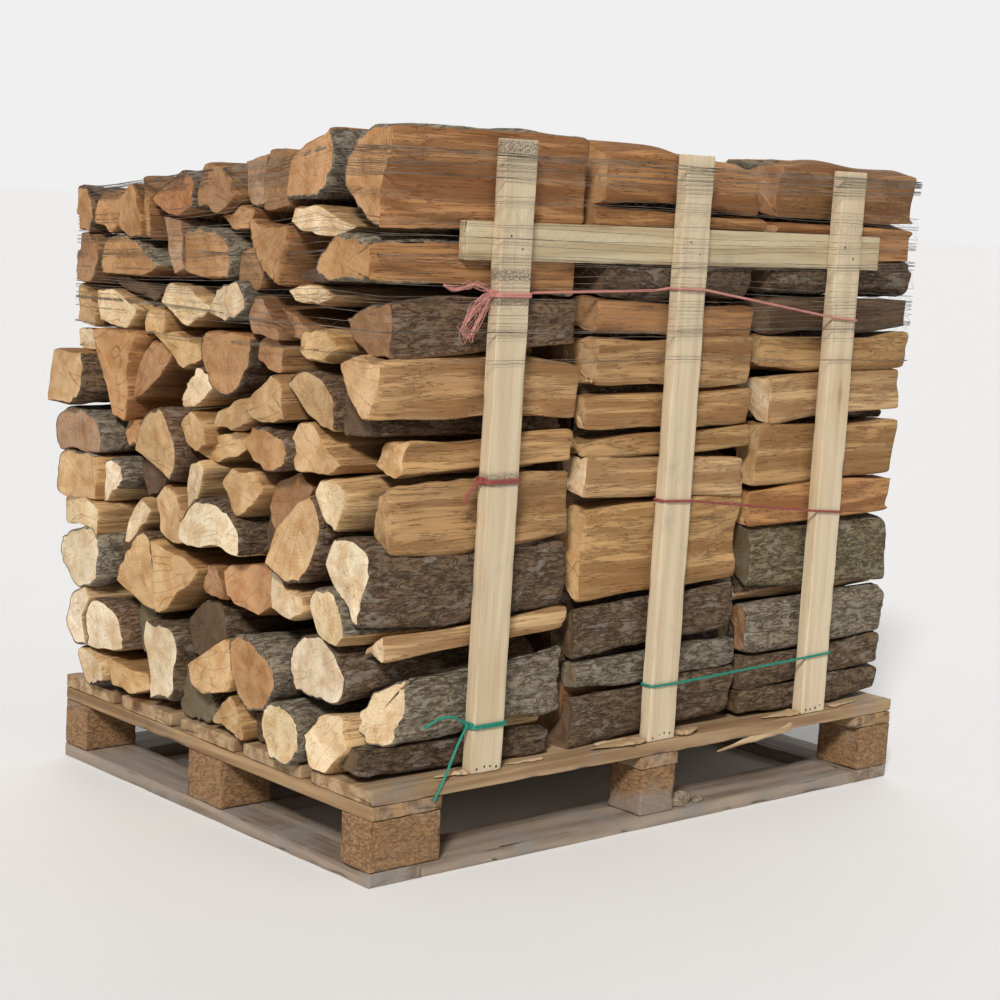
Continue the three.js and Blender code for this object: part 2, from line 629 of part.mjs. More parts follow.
// The net: level rings of thin strand, laced together by upright strands.
function addNet() {
  const ringOutline = (inset) =>
    NET_LOOP.map(([x, y]) => {
      const reach = Math.hypot(x, y);
      return new THREE.Vector2((x * (reach - inset)) / reach, (y * (reach - inset)) / reach);
    });
  const pieces = [];
  for (let ring = 0; ring < NET.rings; ring += 1) {
    const shape = new THREE.Shape(ringOutline(0));
    shape.holes.push(new THREE.Path(ringOutline(NET.ringDepth)));
    const band = new THREE.ExtrudeGeometry(shape, { depth: NET.strand, bevelEnabled: false, steps: 1 });
    band.translate(0, 0, NET.bottom + (ring * (NET.top - NET.bottom)) / (NET.rings - 1));
    pieces.push(toSolid(band));
  }
  for (const [x, side] of NET_LACES) {
    const slope = (NET_LOOP[1][1] - NET_LOOP[2][1]) / (NET_LOOP[1][0] - NET_LOOP[2][0]);
    const past = Math.max(0, Math.abs(x) - NET_LOOP[1][0]);
    const y = side * (-NET_LOOP[0][1] - NET.strand / 2 - past * Math.abs(slope));
    const tall = NET.top - NET.bottom + NET.strand / 2;
    const lace = new THREE.BoxGeometry(NET.strand, NET.strand, tall);
    lace.translate(x, y, (NET.top + NET.bottom) / 2 + NET.laceRise);
    pieces.push(toSolid(lace));
  }
  addMesh("net", toGeometry(joined(pieces)), netPaint);
}

addPallet();
addFrames();
addLogs();
addTwines();
addNet();

export default object;
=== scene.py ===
import math

import bmesh
import bpy
import numpy as np
from mathutils import Matrix, Vector


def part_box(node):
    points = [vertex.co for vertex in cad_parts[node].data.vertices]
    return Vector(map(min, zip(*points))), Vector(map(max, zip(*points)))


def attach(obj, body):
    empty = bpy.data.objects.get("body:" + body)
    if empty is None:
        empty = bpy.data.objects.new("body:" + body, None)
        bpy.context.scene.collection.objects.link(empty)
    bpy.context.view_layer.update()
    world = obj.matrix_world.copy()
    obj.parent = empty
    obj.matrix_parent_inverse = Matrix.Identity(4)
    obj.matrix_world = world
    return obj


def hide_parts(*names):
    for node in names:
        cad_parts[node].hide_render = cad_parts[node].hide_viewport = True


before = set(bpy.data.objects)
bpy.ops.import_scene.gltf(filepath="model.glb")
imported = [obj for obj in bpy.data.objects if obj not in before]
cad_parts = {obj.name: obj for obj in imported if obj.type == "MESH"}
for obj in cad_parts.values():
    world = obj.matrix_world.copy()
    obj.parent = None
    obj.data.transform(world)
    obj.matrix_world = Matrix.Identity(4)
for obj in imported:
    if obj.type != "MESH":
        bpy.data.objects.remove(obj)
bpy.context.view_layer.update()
print("frame loaded:", len(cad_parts), "nodes")

mm = 0.001


def intoScene(name, data):
    # An object of that name, holding the data, in the scene.
    thing = bpy.data.objects.new(name, data)
    bpy.context.scene.collection.objects.link(thing)
    return thing


class Wire:
    # One value on its way through a material; arithmetic on it adds Math nodes.
    def __init__(self, finish, socket):
        self.finish = finish
        self.socket = socket

    def math(self, operation, *others):
        return self.finish.add("Math", {"operation": operation}, dict(enumerate((self, *others))))

    def __add__(self, other):
        return self.math("ADD", other)

    def __radd__(self, other):
        return self.math("ADD", other)

    def __sub__(self, other):
        return self.math("SUBTRACT", other)

    def __rsub__(self, other):
        return self.finish.add("Math", {"operation": "SUBTRACT"}, {0: other, 1: self})

    def __mul__(self, other):
        return self.math("MULTIPLY", other)

    def __rmul__(self, other):
        return self.math("MULTIPLY", other)

    def band(self, low, high):
        # 0 below low, 1 above high, smooth between
        settings = {"interpolation_type": "SMOOTHSTEP"}
        return self.finish.add("MapRange", settings, {0: self, 1: low, 2: high, 3: 0.0, 4: 1.0})


class Finish:
    # One material and the nodes that make it.
    def __init__(self, name):
        self.material = bpy.data.materials.new(name)
        self.material.use_nodes = True
        self.tree = self.material.node_tree
        self.tree.nodes.clear()
        self.place = self.add("TexCoord", {}, {}, "Object")

    def add(self, kind, settings, sockets, out=0):
        # A node of that type: its settings first, then each socket's link or value.
        node = self.tree.nodes.new("ShaderNode" + kind)
        for key, value in settings.items():
            setattr(node, key, value)
        for key, value in sockets.items():
            if isinstance(value, Wire):
                self.tree.links.new(value.socket, node.inputs[key])
            else:
                node.inputs[key].default_value = value
        return Wire(self, node.outputs[out])

    def reading(self, name, out="Vector"):
        # What a piece's own attribute says at each point.
        return self.add("Attribute", {"attribute_name": name}, {}, out)

    def part(self, vector, axis):
        return self.add("SeparateXYZ", {}, {0: vector}, axis)

    def stretched(self, vector, scale):
        return self.add("Mapping", {}, {"Vector": vector, "Scale": scale})

    def noise(self, vector, scale=1.0, detail=2, rough=0.55, warp=0.0):
        sockets = {"Vector": vector, "Scale": scale, "Detail": detail}
        sockets.update({"Roughness": rough, "Distortion": warp})
        return self.add("TexNoise", {}, sockets, "Fac")

    def cells(self, vector, feature="F1", out="Distance"):
        return self.add("TexVoronoi", {"feature": feature}, {"Vector": vector, "Scale": 1.0}, out)

    def blend(self, amount, first, second, kind="MIX"):
        # amount 0 is the first colour, 1 the second, or the first times the second with MULTIPLY
        settings = {"data_type": "RGBA", "blend_type": kind, "clamp_factor": True}
        return self.add("Mix", settings, {0: amount, 6: first, 7: second}, 2)

    def bump(self, height, distance, strength):
        return self.add("Bump", {}, {"Height": height, "Distance": distance, "Strength": strength})

    def apart(self, chance):
        # Object coordinates moved by a piece's own chance, so that no two pieces have the same grain.
        shift = self.add("CombineXYZ", {}, {0: chance * 9, 1: chance * 5, 2: chance * 7})
        return self.add("VectorMath", {"operation": "ADD"}, {0: self.place, 1: shift})

    def surface(self, shader):
        # The shader is all there is to the material.
        output = self.tree.nodes.new("ShaderNodeOutputMaterial")
        self.tree.links.new(shader.socket, output.inputs[0])
        return self.material

    def close(self, colour, roughness, normal=None, **fixed):
        sockets = {"Base Color": colour, "Roughness": roughness}
        if normal is not None:
            sockets["Normal"] = normal
        sockets.update({key.replace("_", " "): value for key, value in fixed.items()})
        return self.surface(self.add("BsdfPrincipled", {}, sockets))


def paint(red, green, blue):
    # A colour as a paint chart gives it, 0 to 255, made linear.
    chart = np.array([red, green, blue]) / 255
    linear = np.where(chart <= 0.04045, chart / 12.92, ((chart + 0.055) / 1.055) ** 2.4)
    return (*(float(value) for value in linear), 1.0)


def lattice(rng, cellsRound, cellsAlong, u, v):
    # Random heights on a lattice, joined by smooth curves: u runs once round and wraps, v from 0 to 1.
    heights = rng.uniform(-1, 1, (cellsRound, cellsAlong + 2))
    a = (u % 1.0) * cellsRound
    b = np.clip(v, 0, 1) * cellsAlong
    i = np.floor(a).astype(int) % cellsRound
    j = np.floor(b).astype(int)
    s = a - np.floor(a)
    t = b - np.floor(b)
    s = s * s * (3 - 2 * s)
    t = t * t * (3 - 2 * t)
    nextI = (i + 1) % cellsRound
    nextJ = np.minimum(j + 1, cellsAlong + 1)
    low = heights[i, j] * (1 - s) + heights[nextI, j] * s
    high = heights[i, nextJ] * (1 - s) + heights[nextI, nextJ] * s
    return low * (1 - t) + high * t


def outwardNormals(ring, middle):
    # Square to the line between a point's two neighbours, and turned away from the middle.
    tangent = np.roll(ring, -1, axis=0) - np.roll(ring, 1, axis=0)
    normal = np.stack([tangent[:, 1], -tangent[:, 0]], axis=1)
    normal /= np.linalg.norm(normal, axis=1)[:, None]
    return -normal if ((ring - middle) * normal).sum() < 0 else normal


class Shell:
    # Gathers closed surfaces, each a grid of (along, round) points, and makes them one object.
    def __init__(self):
        self.points = []
        self.faces = []
        self.marks = {}
        self.count = 0

    def add(self, rows, **marks):
        # The first and last row are drawn together into one point each, which closes the ends.
        # Each cell between two rows is two triangles; the volume's sign tells which way they must face.
        along, around = rows.shape[:2]
        points = np.vstack([rows[0].mean(axis=0), rows[1:-1].reshape(-1, 3), rows[-1].mean(axis=0)])
        ring = np.arange(around)
        nextRing = (ring + 1) % around
        rowStart = 1 + np.arange(along - 3)[:, None] * around
        first = rowStart + ring
        second = rowStart + nextRing
        lower = np.stack([first, second, second + around], axis=-1).reshape(-1, 3)
        upper = np.stack([first, second + around, first + around], axis=-1).reshape(-1, 3)
        start = np.stack([np.zeros_like(ring), 1 + nextRing, 1 + ring], axis=-1)
        base = 1 + (along - 3) * around
        end = np.stack([np.full_like(ring, len(points) - 1), base + ring, base + nextRing], axis=-1)
        triangles = np.concatenate([lower, upper, start, end])
        a, b, c = (points[triangles[:, k]] for k in range(3))
        if np.einsum("ij,ij->i", a, np.cross(b, c)).sum() < 0:
            triangles = triangles[:, ::-1]
        self.points.append(points)
        self.faces.append(triangles + self.count)
        self.count += len(points)
        for name, grid in marks.items():
            flat = grid[1:-1].reshape(-1, grid.shape[-1])
            values = np.vstack([grid[0].mean(axis=0), flat, grid[-1].mean(axis=0)])
            self.marks.setdefault(name, []).append(values)

    def finish(self, name, material, slot, nodes=()):
        # One smooth mesh of all the surfaces with their attributes, riding on the root body.
        points = np.vstack(self.points)
        faces = np.vstack(self.faces)
        mesh = bpy.data.meshes.new(name)
        mesh.vertices.add(len(points))
        mesh.vertices.foreach_set("co", points.astype(np.float32).ravel())
        mesh.loops.add(faces.size)
        mesh.loops.foreach_set("vertex_index", faces.astype(np.int32).ravel())
        mesh.polygons.add(len(faces))
        mesh.polygons.foreach_set("loop_start", np.arange(0, faces.size, 3, dtype=np.int32))
        mesh.polygons.foreach_set("use_smooth", np.ones(len(faces), dtype=bool))
        for mark, values in self.marks.items():
            values = np.vstack(values).astype(np.float32)
            kind, field = ("FLOAT_COLOR", "color") if values.shape[1] == 4 else ("FLOAT_VECTOR", "vector")
            mesh.attributes.new(mark, kind, "POINT").data.foreach_set(field, values.ravel())
        mesh.update(calc_edges=True)
        mesh.validate()
        mesh.materials.append(material)
        piece = intoScene(name, mesh)
        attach(piece, "root")
        if nodes:
            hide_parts(*nodes)


def boardLook(light, dark, gray, wear, fuzz):
    # The grain's two colours, how gray the weather has made it, and the depth in mm of the worn edges and
    # of the saw's fuzz.
    return {"light": paint(*light), "dark": paint(*dark), "gray": gray, "wear": wear, "fuzz": fuzz}


boardLooks = {
    "deck": boardLook((178, 152, 118), (138, 110, 80), gray=0.4, wear=2.4, fuzz=0.4),
    "stringer": boardLook((168, 138, 102), (122, 94, 66), gray=0.38, wear=2.4, fuzz=0.5),
    "base": boardLook((158, 142, 126), (120, 104, 90), gray=0.6, wear=3.8, fuzz=0.6),
    "upright": boardLook((208, 192, 164), (196, 178, 148), gray=0.12, wear=1.6, fuzz=0.4),
    "batten": boardLook((200, 186, 154), (176, 156, 122), gray=0.2, wear=1.6, fuzz=0.4),
    "block": boardLook((158, 124, 88), (112, 84, 58), gray=0.25, wear=3.2, fuzz=1.0),
    "splinter": boardLook((198, 172, 138), (160, 132, 98), gray=0.1, wear=1.0, fuzz=0.4),
}

sawing = {
    "corner": 1.6,  # mm, as are the others: how round the long edges are
    "edgeReach": 5.0,  # how far wear comes in from a long edge
    "chipLength": 35,
    "fuzzLength": 60,
    "firstRing": 0.8,  # how far the first two rings are from each end
    "secondRing": 3.0,
    "endPress": 0.8,  # how far the rim of an end is rounded down
    "endReach": 6.0,  # how far wear comes in from an end
}
capRings = np.array([0.0, 0.4, 0.75, 0.93])  # a board's end, as shares of its rim


def roundedSection(width, height, corner, spacing):
    # A rectangle with its corners as quarter circles, its points about spacing apart.
    points = []
    halfW, halfH = width / 2 - corner, height / 2 - corner
    centres = [(halfW, -halfH, -90), (halfW, halfH, 0), (-halfW, halfH, 90), (-halfW, -halfH, 180)]
    for k, (cx, cy, start) in enumerate(centres):
        angles = np.radians(start + np.linspace(0, 90, 4))
        arc = np.stack([cx + corner * np.cos(angles), cy + corner * np.sin(angles)], axis=1)
        nx, ny, nextStart = centres[(k + 1) % 4]
        following = np.radians(nextStart)
        goal = np.array([nx + corner * np.cos(following), ny + corner * np.sin(following)])
        run = np.linalg.norm(goal - arc[-1])
        steps = max(2, int(run / spacing))
        line = arc[-1] + (goal - arc[-1]) * (np.arange(1, steps) / steps)[:, None]
        points += [arc, line]
    return np.vstack(points)


def sawBoard(shell, low, high, axis, look, seed, spacing, step, bite=None):
    # The section is carried along the board and only ever pressed inwards: saw fuzz everywhere, chipped
    # wear that grows towards the long edges, and the two ends closed by shrinking rings. low and high mm.
    rng = np.random.default_rng(seed)
    order = [axis] + [k for k in range(3) if k != axis]
    size = (high - low)[order]
    centre = ((high + low) / 2)[order]
    corner = min(sawing["corner"], size[1] / 5, size[2] / 5)
    section = roundedSection(size[1], size[2], corner, spacing)
    count = len(section)
    normal = outwardNormals(section, 0)
    first = sawing["firstRing"] / size[0]
    second = sawing["secondRing"] / size[0]
    stations = np.linspace(second, 1 - second, max(4, int(size[0] / step)))
    t = np.concatenate([[0, first], stations, [1 - first, 1]])
    u = np.linspace(0, 1, count, endpoint=False)
    gridU, gridT = np.meshgrid(u, t)
    toCorner = (size[1:] / 2 - np.abs(section)).max(axis=1)
    edge = np.exp(-toCorner / sawing["edgeReach"])[None, :] * np.ones_like(gridT)
    chips = np.clip(lattice(rng, 8, max(6, int(size[0] / sawing["chipLength"])), gridU, gridT) - 0.1, 0, 1)
    fuzz = lattice(rng, count, max(4, int(size[0] / sawing["fuzzLength"])), gridU, gridT)
    press = look["fuzz"] * (0.5 + 0.5 * fuzz) + look["wear"] * edge * chips
    toEnd = np.minimum(gridT, 1 - gridT) * size[0]
    endWear = look["wear"] * 0.3 * np.exp(-toEnd / sawing["endReach"]) * chips
    press += sawing["endPress"] * np.exp(-toEnd) + endWear
    rows = section[None] - press[:, :, None] * normal[None]
    ragged = look["fuzz"] * 1.5 * np.abs(lattice(rng, 20, 1, u, np.zeros_like(u)))
    along = (gridT - 0.5) * size[0]
    along = np.where(gridT < 0.01, along + ragged, along)
    along = np.where(gridT > 0.99, along - ragged, along)
    grid = np.concatenate([along[:, :, None], rows], axis=2)
    start = grid[0] * [1, 0, 0] + grid[0] * capRings[:, None, None] * [0, 1, 1]
    end = grid[-1] * [1, 0, 0] + grid[-1] * capRings[::-1, None, None] * [0, 1, 1]
    grid = np.concatenate([start, grid, end])
    cap = np.zeros_like(start[:, :, 0])
    worn = np.concatenate([cap, np.clip(edge * (0.5 + chips), 0, 1), cap])
    sawn = np.concatenate([cap + 1, np.zeros_like(edge), cap + 1])
    marks = np.stack([worn, sawn, np.full_like(worn, rng.uniform(0, 1))], axis=2)
    places = np.empty_like(grid)
    places[:, :, order] = grid + centre
    if bite is not None:
        places = bite(places, rng)
    shell.add(places * mm, boardFacts=marks)


def boardFinish(name, look, axis, chips=False, shadowBands=()):
    # Straight sawn grain along the axis with a few knots, gray weather and dirt; chips makes it pressed wood
    # chips instead, grayer and darker on the lower half of the middle blocks; shadowBands are dark bands of
    # painted shadow across an upright, as (height, reach, strength).
    f = Finish(name)
    facts = f.reading("boardFacts")
    worn, sawn, chance = (f.part(facts, part) for part in "XYZ")
    place = f.apart(chance)

    def along(near, far):
        return tuple(near if k == axis else far for k in range(3))

    fine = f.noise(f.stretched(place, along(8, 330)), detail=3, rough=0.65)
    grain = f.noise(f.stretched(place, along(1.6, 46)), detail=3, rough=0.55, warp=0.5)
    knot = f.cells(f.stretched(place, along(2.4, 7.5)))
    knotSpot = 1 - knot.band(0.05, 0.11)
    knotHalo = (1 - knot.band(0.08, 0.3)) * 0.5
    sawMark = f.noise(f.stretched(place, along(240, 14)), detail=2)
    dirt = f.noise(place, 9, detail=5, rough=0.65)
    speck = f.noise(place, 300, detail=2)
    colour = f.blend(grain.band(0.35, 0.65), look["light"], look["dark"])
    colour = f.blend(fine.band(0.5, 0.75) * 0.45, colour, (0.72, 0.6, 0.48, 1), "MULTIPLY")
    height = fine * 0.5 + sawMark * 0.35
    if chips:
        flakes = f.stretched(place, (170, 170, 330))
        flake = f.cells(flakes, out="Color")
        flakeEdge = f.cells(flakes, feature="DISTANCE_TO_EDGE").band(0.0, 0.12)
        flakeTone = f.part(flake, "X")
        colour = f.blend(flakeTone, look["light"], look["dark"])
        colour = f.blend((1 - flakeEdge) * 0.3, colour, (0.5, 0.4, 0.32, 1), "MULTIPLY")
        height = flakeEdge * 0.5 + flakeTone * 0.6 + speck * 0.5
        # the lower half of the middle blocks is grayer and darker
        low = 1 - (f.part(f.place, "Z") + (dirt - 0.5) * 0.12).band(0.05, 0.068)
        lowerDarkening = low * (1 - f.part(f.place, "X").math("ABSOLUTE").band(0.05, 0.1))
        colour = f.blend(lowerDarkening * 0.6, colour, (0.27, 0.24, 0.21, 1))
    else:
        colour = f.blend(knotHalo, colour, (0.8, 0.66, 0.5, 1), "MULTIPLY")
        colour = f.blend(knotSpot * 0.8, colour, (0.42, 0.28, 0.18, 1), "MULTIPLY")
        endRing = (f.noise(f.stretched(place, along(2, 60)), detail=1, warp=0.6) * 40).math("SINE")
        colour = f.blend(endRing.band(-0.4, 1.0) * sawn * 0.4, colour, (0.66, 0.54, 0.42, 1), "MULTIPLY")
    gray = dirt.band(0.62 - 0.3 * look["gray"], 0.82 - 0.2 * look["gray"]) * min(1.0, 0.35 + look["gray"])
    colour = f.blend(gray, colour, (0.26, 0.235, 0.205, 1))
    colour = f.blend(worn * dirt.band(0.35, 0.65) * 0.5, colour, (0.62, 0.52, 0.42, 1), "MULTIPLY")
    level = f.part(f.place, "Z")
    # painted shadow: each band darkens the upright across its height
    for middle, reach, strength in shadowBands:
        offset = (level + (speck - 0.5) * 0.004 - middle).math("ABSOLUTE")
        band = (1 - offset.band(reach * 0.4, reach)) * (0.3 + speck.band(0.4, 0.6) * 0.7) * strength
        colour = f.blend(band, colour, (0.1, 0.08, 0.068, 1))
    roughness = 0.72 + gray * 0.2 + sawn * 0.08
    return f.close(colour, roughness, f.bump(height, 0.9 * mm, 0.7), Specular_IOR_Level=0.3)


def nodeBox(node):
    # A node's two opposite corners, mm.
    low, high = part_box(node)
    return np.array(low) / mm, np.array(high) / mm


deckTop = nodeBox("pallet_deck_1")[1][2]


def tornEdge(places, rng):
    # The deck's -Y edge is torn away in scallops along its top.
    low = places[:, :, 1].min()
    x = places[:, :, 0]
    near = np.clip(1 - (places[:, :, 1] - low) / 9, 0, 1)
    high = np.clip((places[:, :, 2] - (deckTop - 12)) / 12, 0, 1)
    wave = sum(rng.uniform(0.4, 1) * np.sin(x / rng.uniform(9, 60) + rng.uniform(0, 6)) for _ in range(5))
    places[:, :, 1] += near * high * np.clip(2.2 * wave, 0, 6)
    places[:, :, 2] -= near * high * np.clip(1.1 * wave, 0, 3)
    return places


# each kind of pallet piece: its finish, its look, the axis along its grain, its slot, then how far apart in
# mm its points are round it and along it
palletKinds = {
    "deck": ("worn deck board", "deck", 0, "pallet_board", 6.0, 9.0),
    "base_long": ("dusty bottom board", "base", 0, "pallet_board", 6.0, 9.0),
    "base_end": ("dusty end board", "base", 1, "pallet_board", 6.0, 9.0),
    "stringer": ("cross board", "stringer", 1, "pallet_board", 6.0, 9.0),
    "block": ("pressed chip block", "block", 2, "chip_block", 5.0, 5.0),
}


def makePallet():
    # Each board and block of the frame is sawn anew inside its own box.
    finishes = {}
    for kind, (title, look, axis, *_) in palletKinds.items():
        finishes[kind] = boardFinish(title, boardLooks[look], axis, chips=kind == "block")
    nodes = sorted(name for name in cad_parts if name.startswith("pallet_"))
    for seed, node in enumerate(nodes, 301):
        kind = next(kind for kind in palletKinds if kind in node)
        _, look, axis, slot, spacing, step = palletKinds[kind]
        bite = tornEdge if node == "pallet_deck_1" else None
        shell = Shell()
        sawBoard(shell, *nodeBox(node), axis, boardLooks[look], seed, spacing, step, bite)
        shell.finish(node.replace("pallet_", "worn_"), finishes[kind], slot, (node,))
    print("pallet made")


# painted shadow bands across the first upright: height, reach and strength, in metres
uprightShadowBands = [(0.895, 0.013, 0.8), (0.855, 0.006, 0.75), (0.592, 0.015, 0.7), (1.081, 0.015, 0.85)]


def makeFrames():
    # The uprights and battens, sawn anew inside their own boxes.
    plain = boardFinish("sawn upright", boardLooks["upright"], 2)
    # the first upright's material has dark bands of painted shadow across it
    shadowBanded = boardFinish("stained upright", boardLooks["upright"], 2, shadowBands=uprightShadowBands)
    flat = boardFinish("sawn batten", boardLooks["batten"], 0)
    seed = 500
    for side in ("front", "rear"):
        for number in (1, 2, 3):
            node = f"upright_{side}_{number}"
            seed += 1
            shell = Shell()
            sawBoard(shell, *nodeBox(node), 2, boardLooks["upright"], seed, 4.0, 9.0)
            material = shadowBanded if node == "upright_front_1" else plain
            shell.finish(node.replace("upright", "slat"), material, "sawn_wood", (node,))
        node = f"batten_{side}"
        shell = Shell()
        sawBoard(shell, *nodeBox(node), 0, boardLooks["batten"], seed + 20, 5.0, 9.0)
        shell.finish("cross_" + node, flat, "sawn_wood", (node,))
    print("uprights and battens made")


stack = {
    "front": -389.5,  # mm, where the drawn outlines' -Y edge lies
    "span": 779.0,
    "drawnFront": -398.0,
    "drawnSpan": 854.0,
    "lean": 28.0,  # how far the far corner logs stand out past the near ones
    "netFrom": 735.0,  # the net keeps the ends above this height more level
    "swell": 1.5,  # mm, how much a log is fatter than drawn
    # the same for the logs hidden in the middle of the load, course by course, so that no light passes
    "coreSwell": [22.0, 22.0, 24.0, 34.0, 34.0, 24.0, 1.5],
    "coreEdge": 425.0,  # drawn Y beyond which a log shows on the far side
    "coreNear": 350.0,  # mm, how near the -Y side a hidden log comes
    "face": 398.6,  # mm from the middle to where the uprights stop the logs
    "cornerLimit": 104.0,  # degrees; sharper corners were made by the axe
    "levelTip": 0.05,  # how far the saw cuts tip out of square, under the net
    "tip": 0.16,  # and below it
}

relief = {
    "fibres": 0.9,  # mm, as are the others; on split faces
    "ledges": 2.6,  # steps along the split faces
    "furrows": 3.0,  # on bark
    "endRound": 1.4,  # how far the sawn edges are rounded down
    "dents": 5.0,  # what is knocked out of the sawn edges
    "torn": 1.4,  # patches on the sawn ends
    "sawMarks": 1.1,
    "bend": 4.0,  # how far a log bends along its length
    "slimBelow": 24.0,  # from middle to skin; a log more slender than this has finer relief
}
# the slow waver of the skin, how far it is set in to make room for that, and the slope from end to end, for
# the logs inside and for the rougher ones on the -Y side
innerSkin = {"waver": 3.5, "inset": 0.0, "slope": 7.0}
sideSkin = {"waver": 8.0, "inset": 2.5, "slope": 19.0}
endRings = np.array([0.0, 0.22, 0.45, 0.66, 0.82, 0.93, 0.975])  # a sawn end, as shares of its rim

ranks = {
    "front": {"from": -597.0, "to": -201.0, "round": 64, "along": 24},
    "middle": {"from": -186.0, "to": 204.0, "round": 40, "along": 14},
    "rear": {"from": 219.0, "to": 594.0, "round": 52, "along": 18},
}

# each tone: the sawn end, then the split faces
woodTones = {
    "cream": (paint(222, 206, 180), paint(186, 156, 118)),
    "pale": (paint(212, 190, 156), paint(188, 156, 114)),
    "ochre": (paint(194, 162, 120), paint(178, 142, 98)),
    "orange": (paint(178, 138, 98), paint(166, 122, 82)),
    "rust": (paint(164, 118, 80), paint(150, 106, 70)),
    "tawny": (paint(162, 126, 94), paint(148, 112, 78)),
    "rose": (paint(174, 142, 114), paint(152, 118, 92)),
    # umber and moss ends are dark partly as the wood's own tone and partly as painted shade for the deep
    # gaps between logs
    "umber": (paint(104, 84, 66), paint(92, 72, 54)),
    "gray": (paint(138, 128, 112), paint(114, 102, 86)),
    "moss": (paint(104, 94, 74), paint(84, 76, 60)),
}
barkTones = {
    "gray": paint(138, 128, 110),
    "moss": paint(116, 106, 82),
    "umber": paint(106, 88, 69),
    "plain": paint(122, 98, 76),
}


def log(look, inset, *outline, slant=(0, 0)):
    # look: the wood's tone, then b for a stretch of bark or a for bark all round. inset sets the near end
    # back in mm; slant tips its saw cut, as mm of X for each mm of Y and of Z.
    tone, _, cover = look.partition(" ")
    outline = np.array(outline, dtype=float)
    return {"tone": tone, "cover": cover, "inset": inset, "slant": slant, "outline": outline}


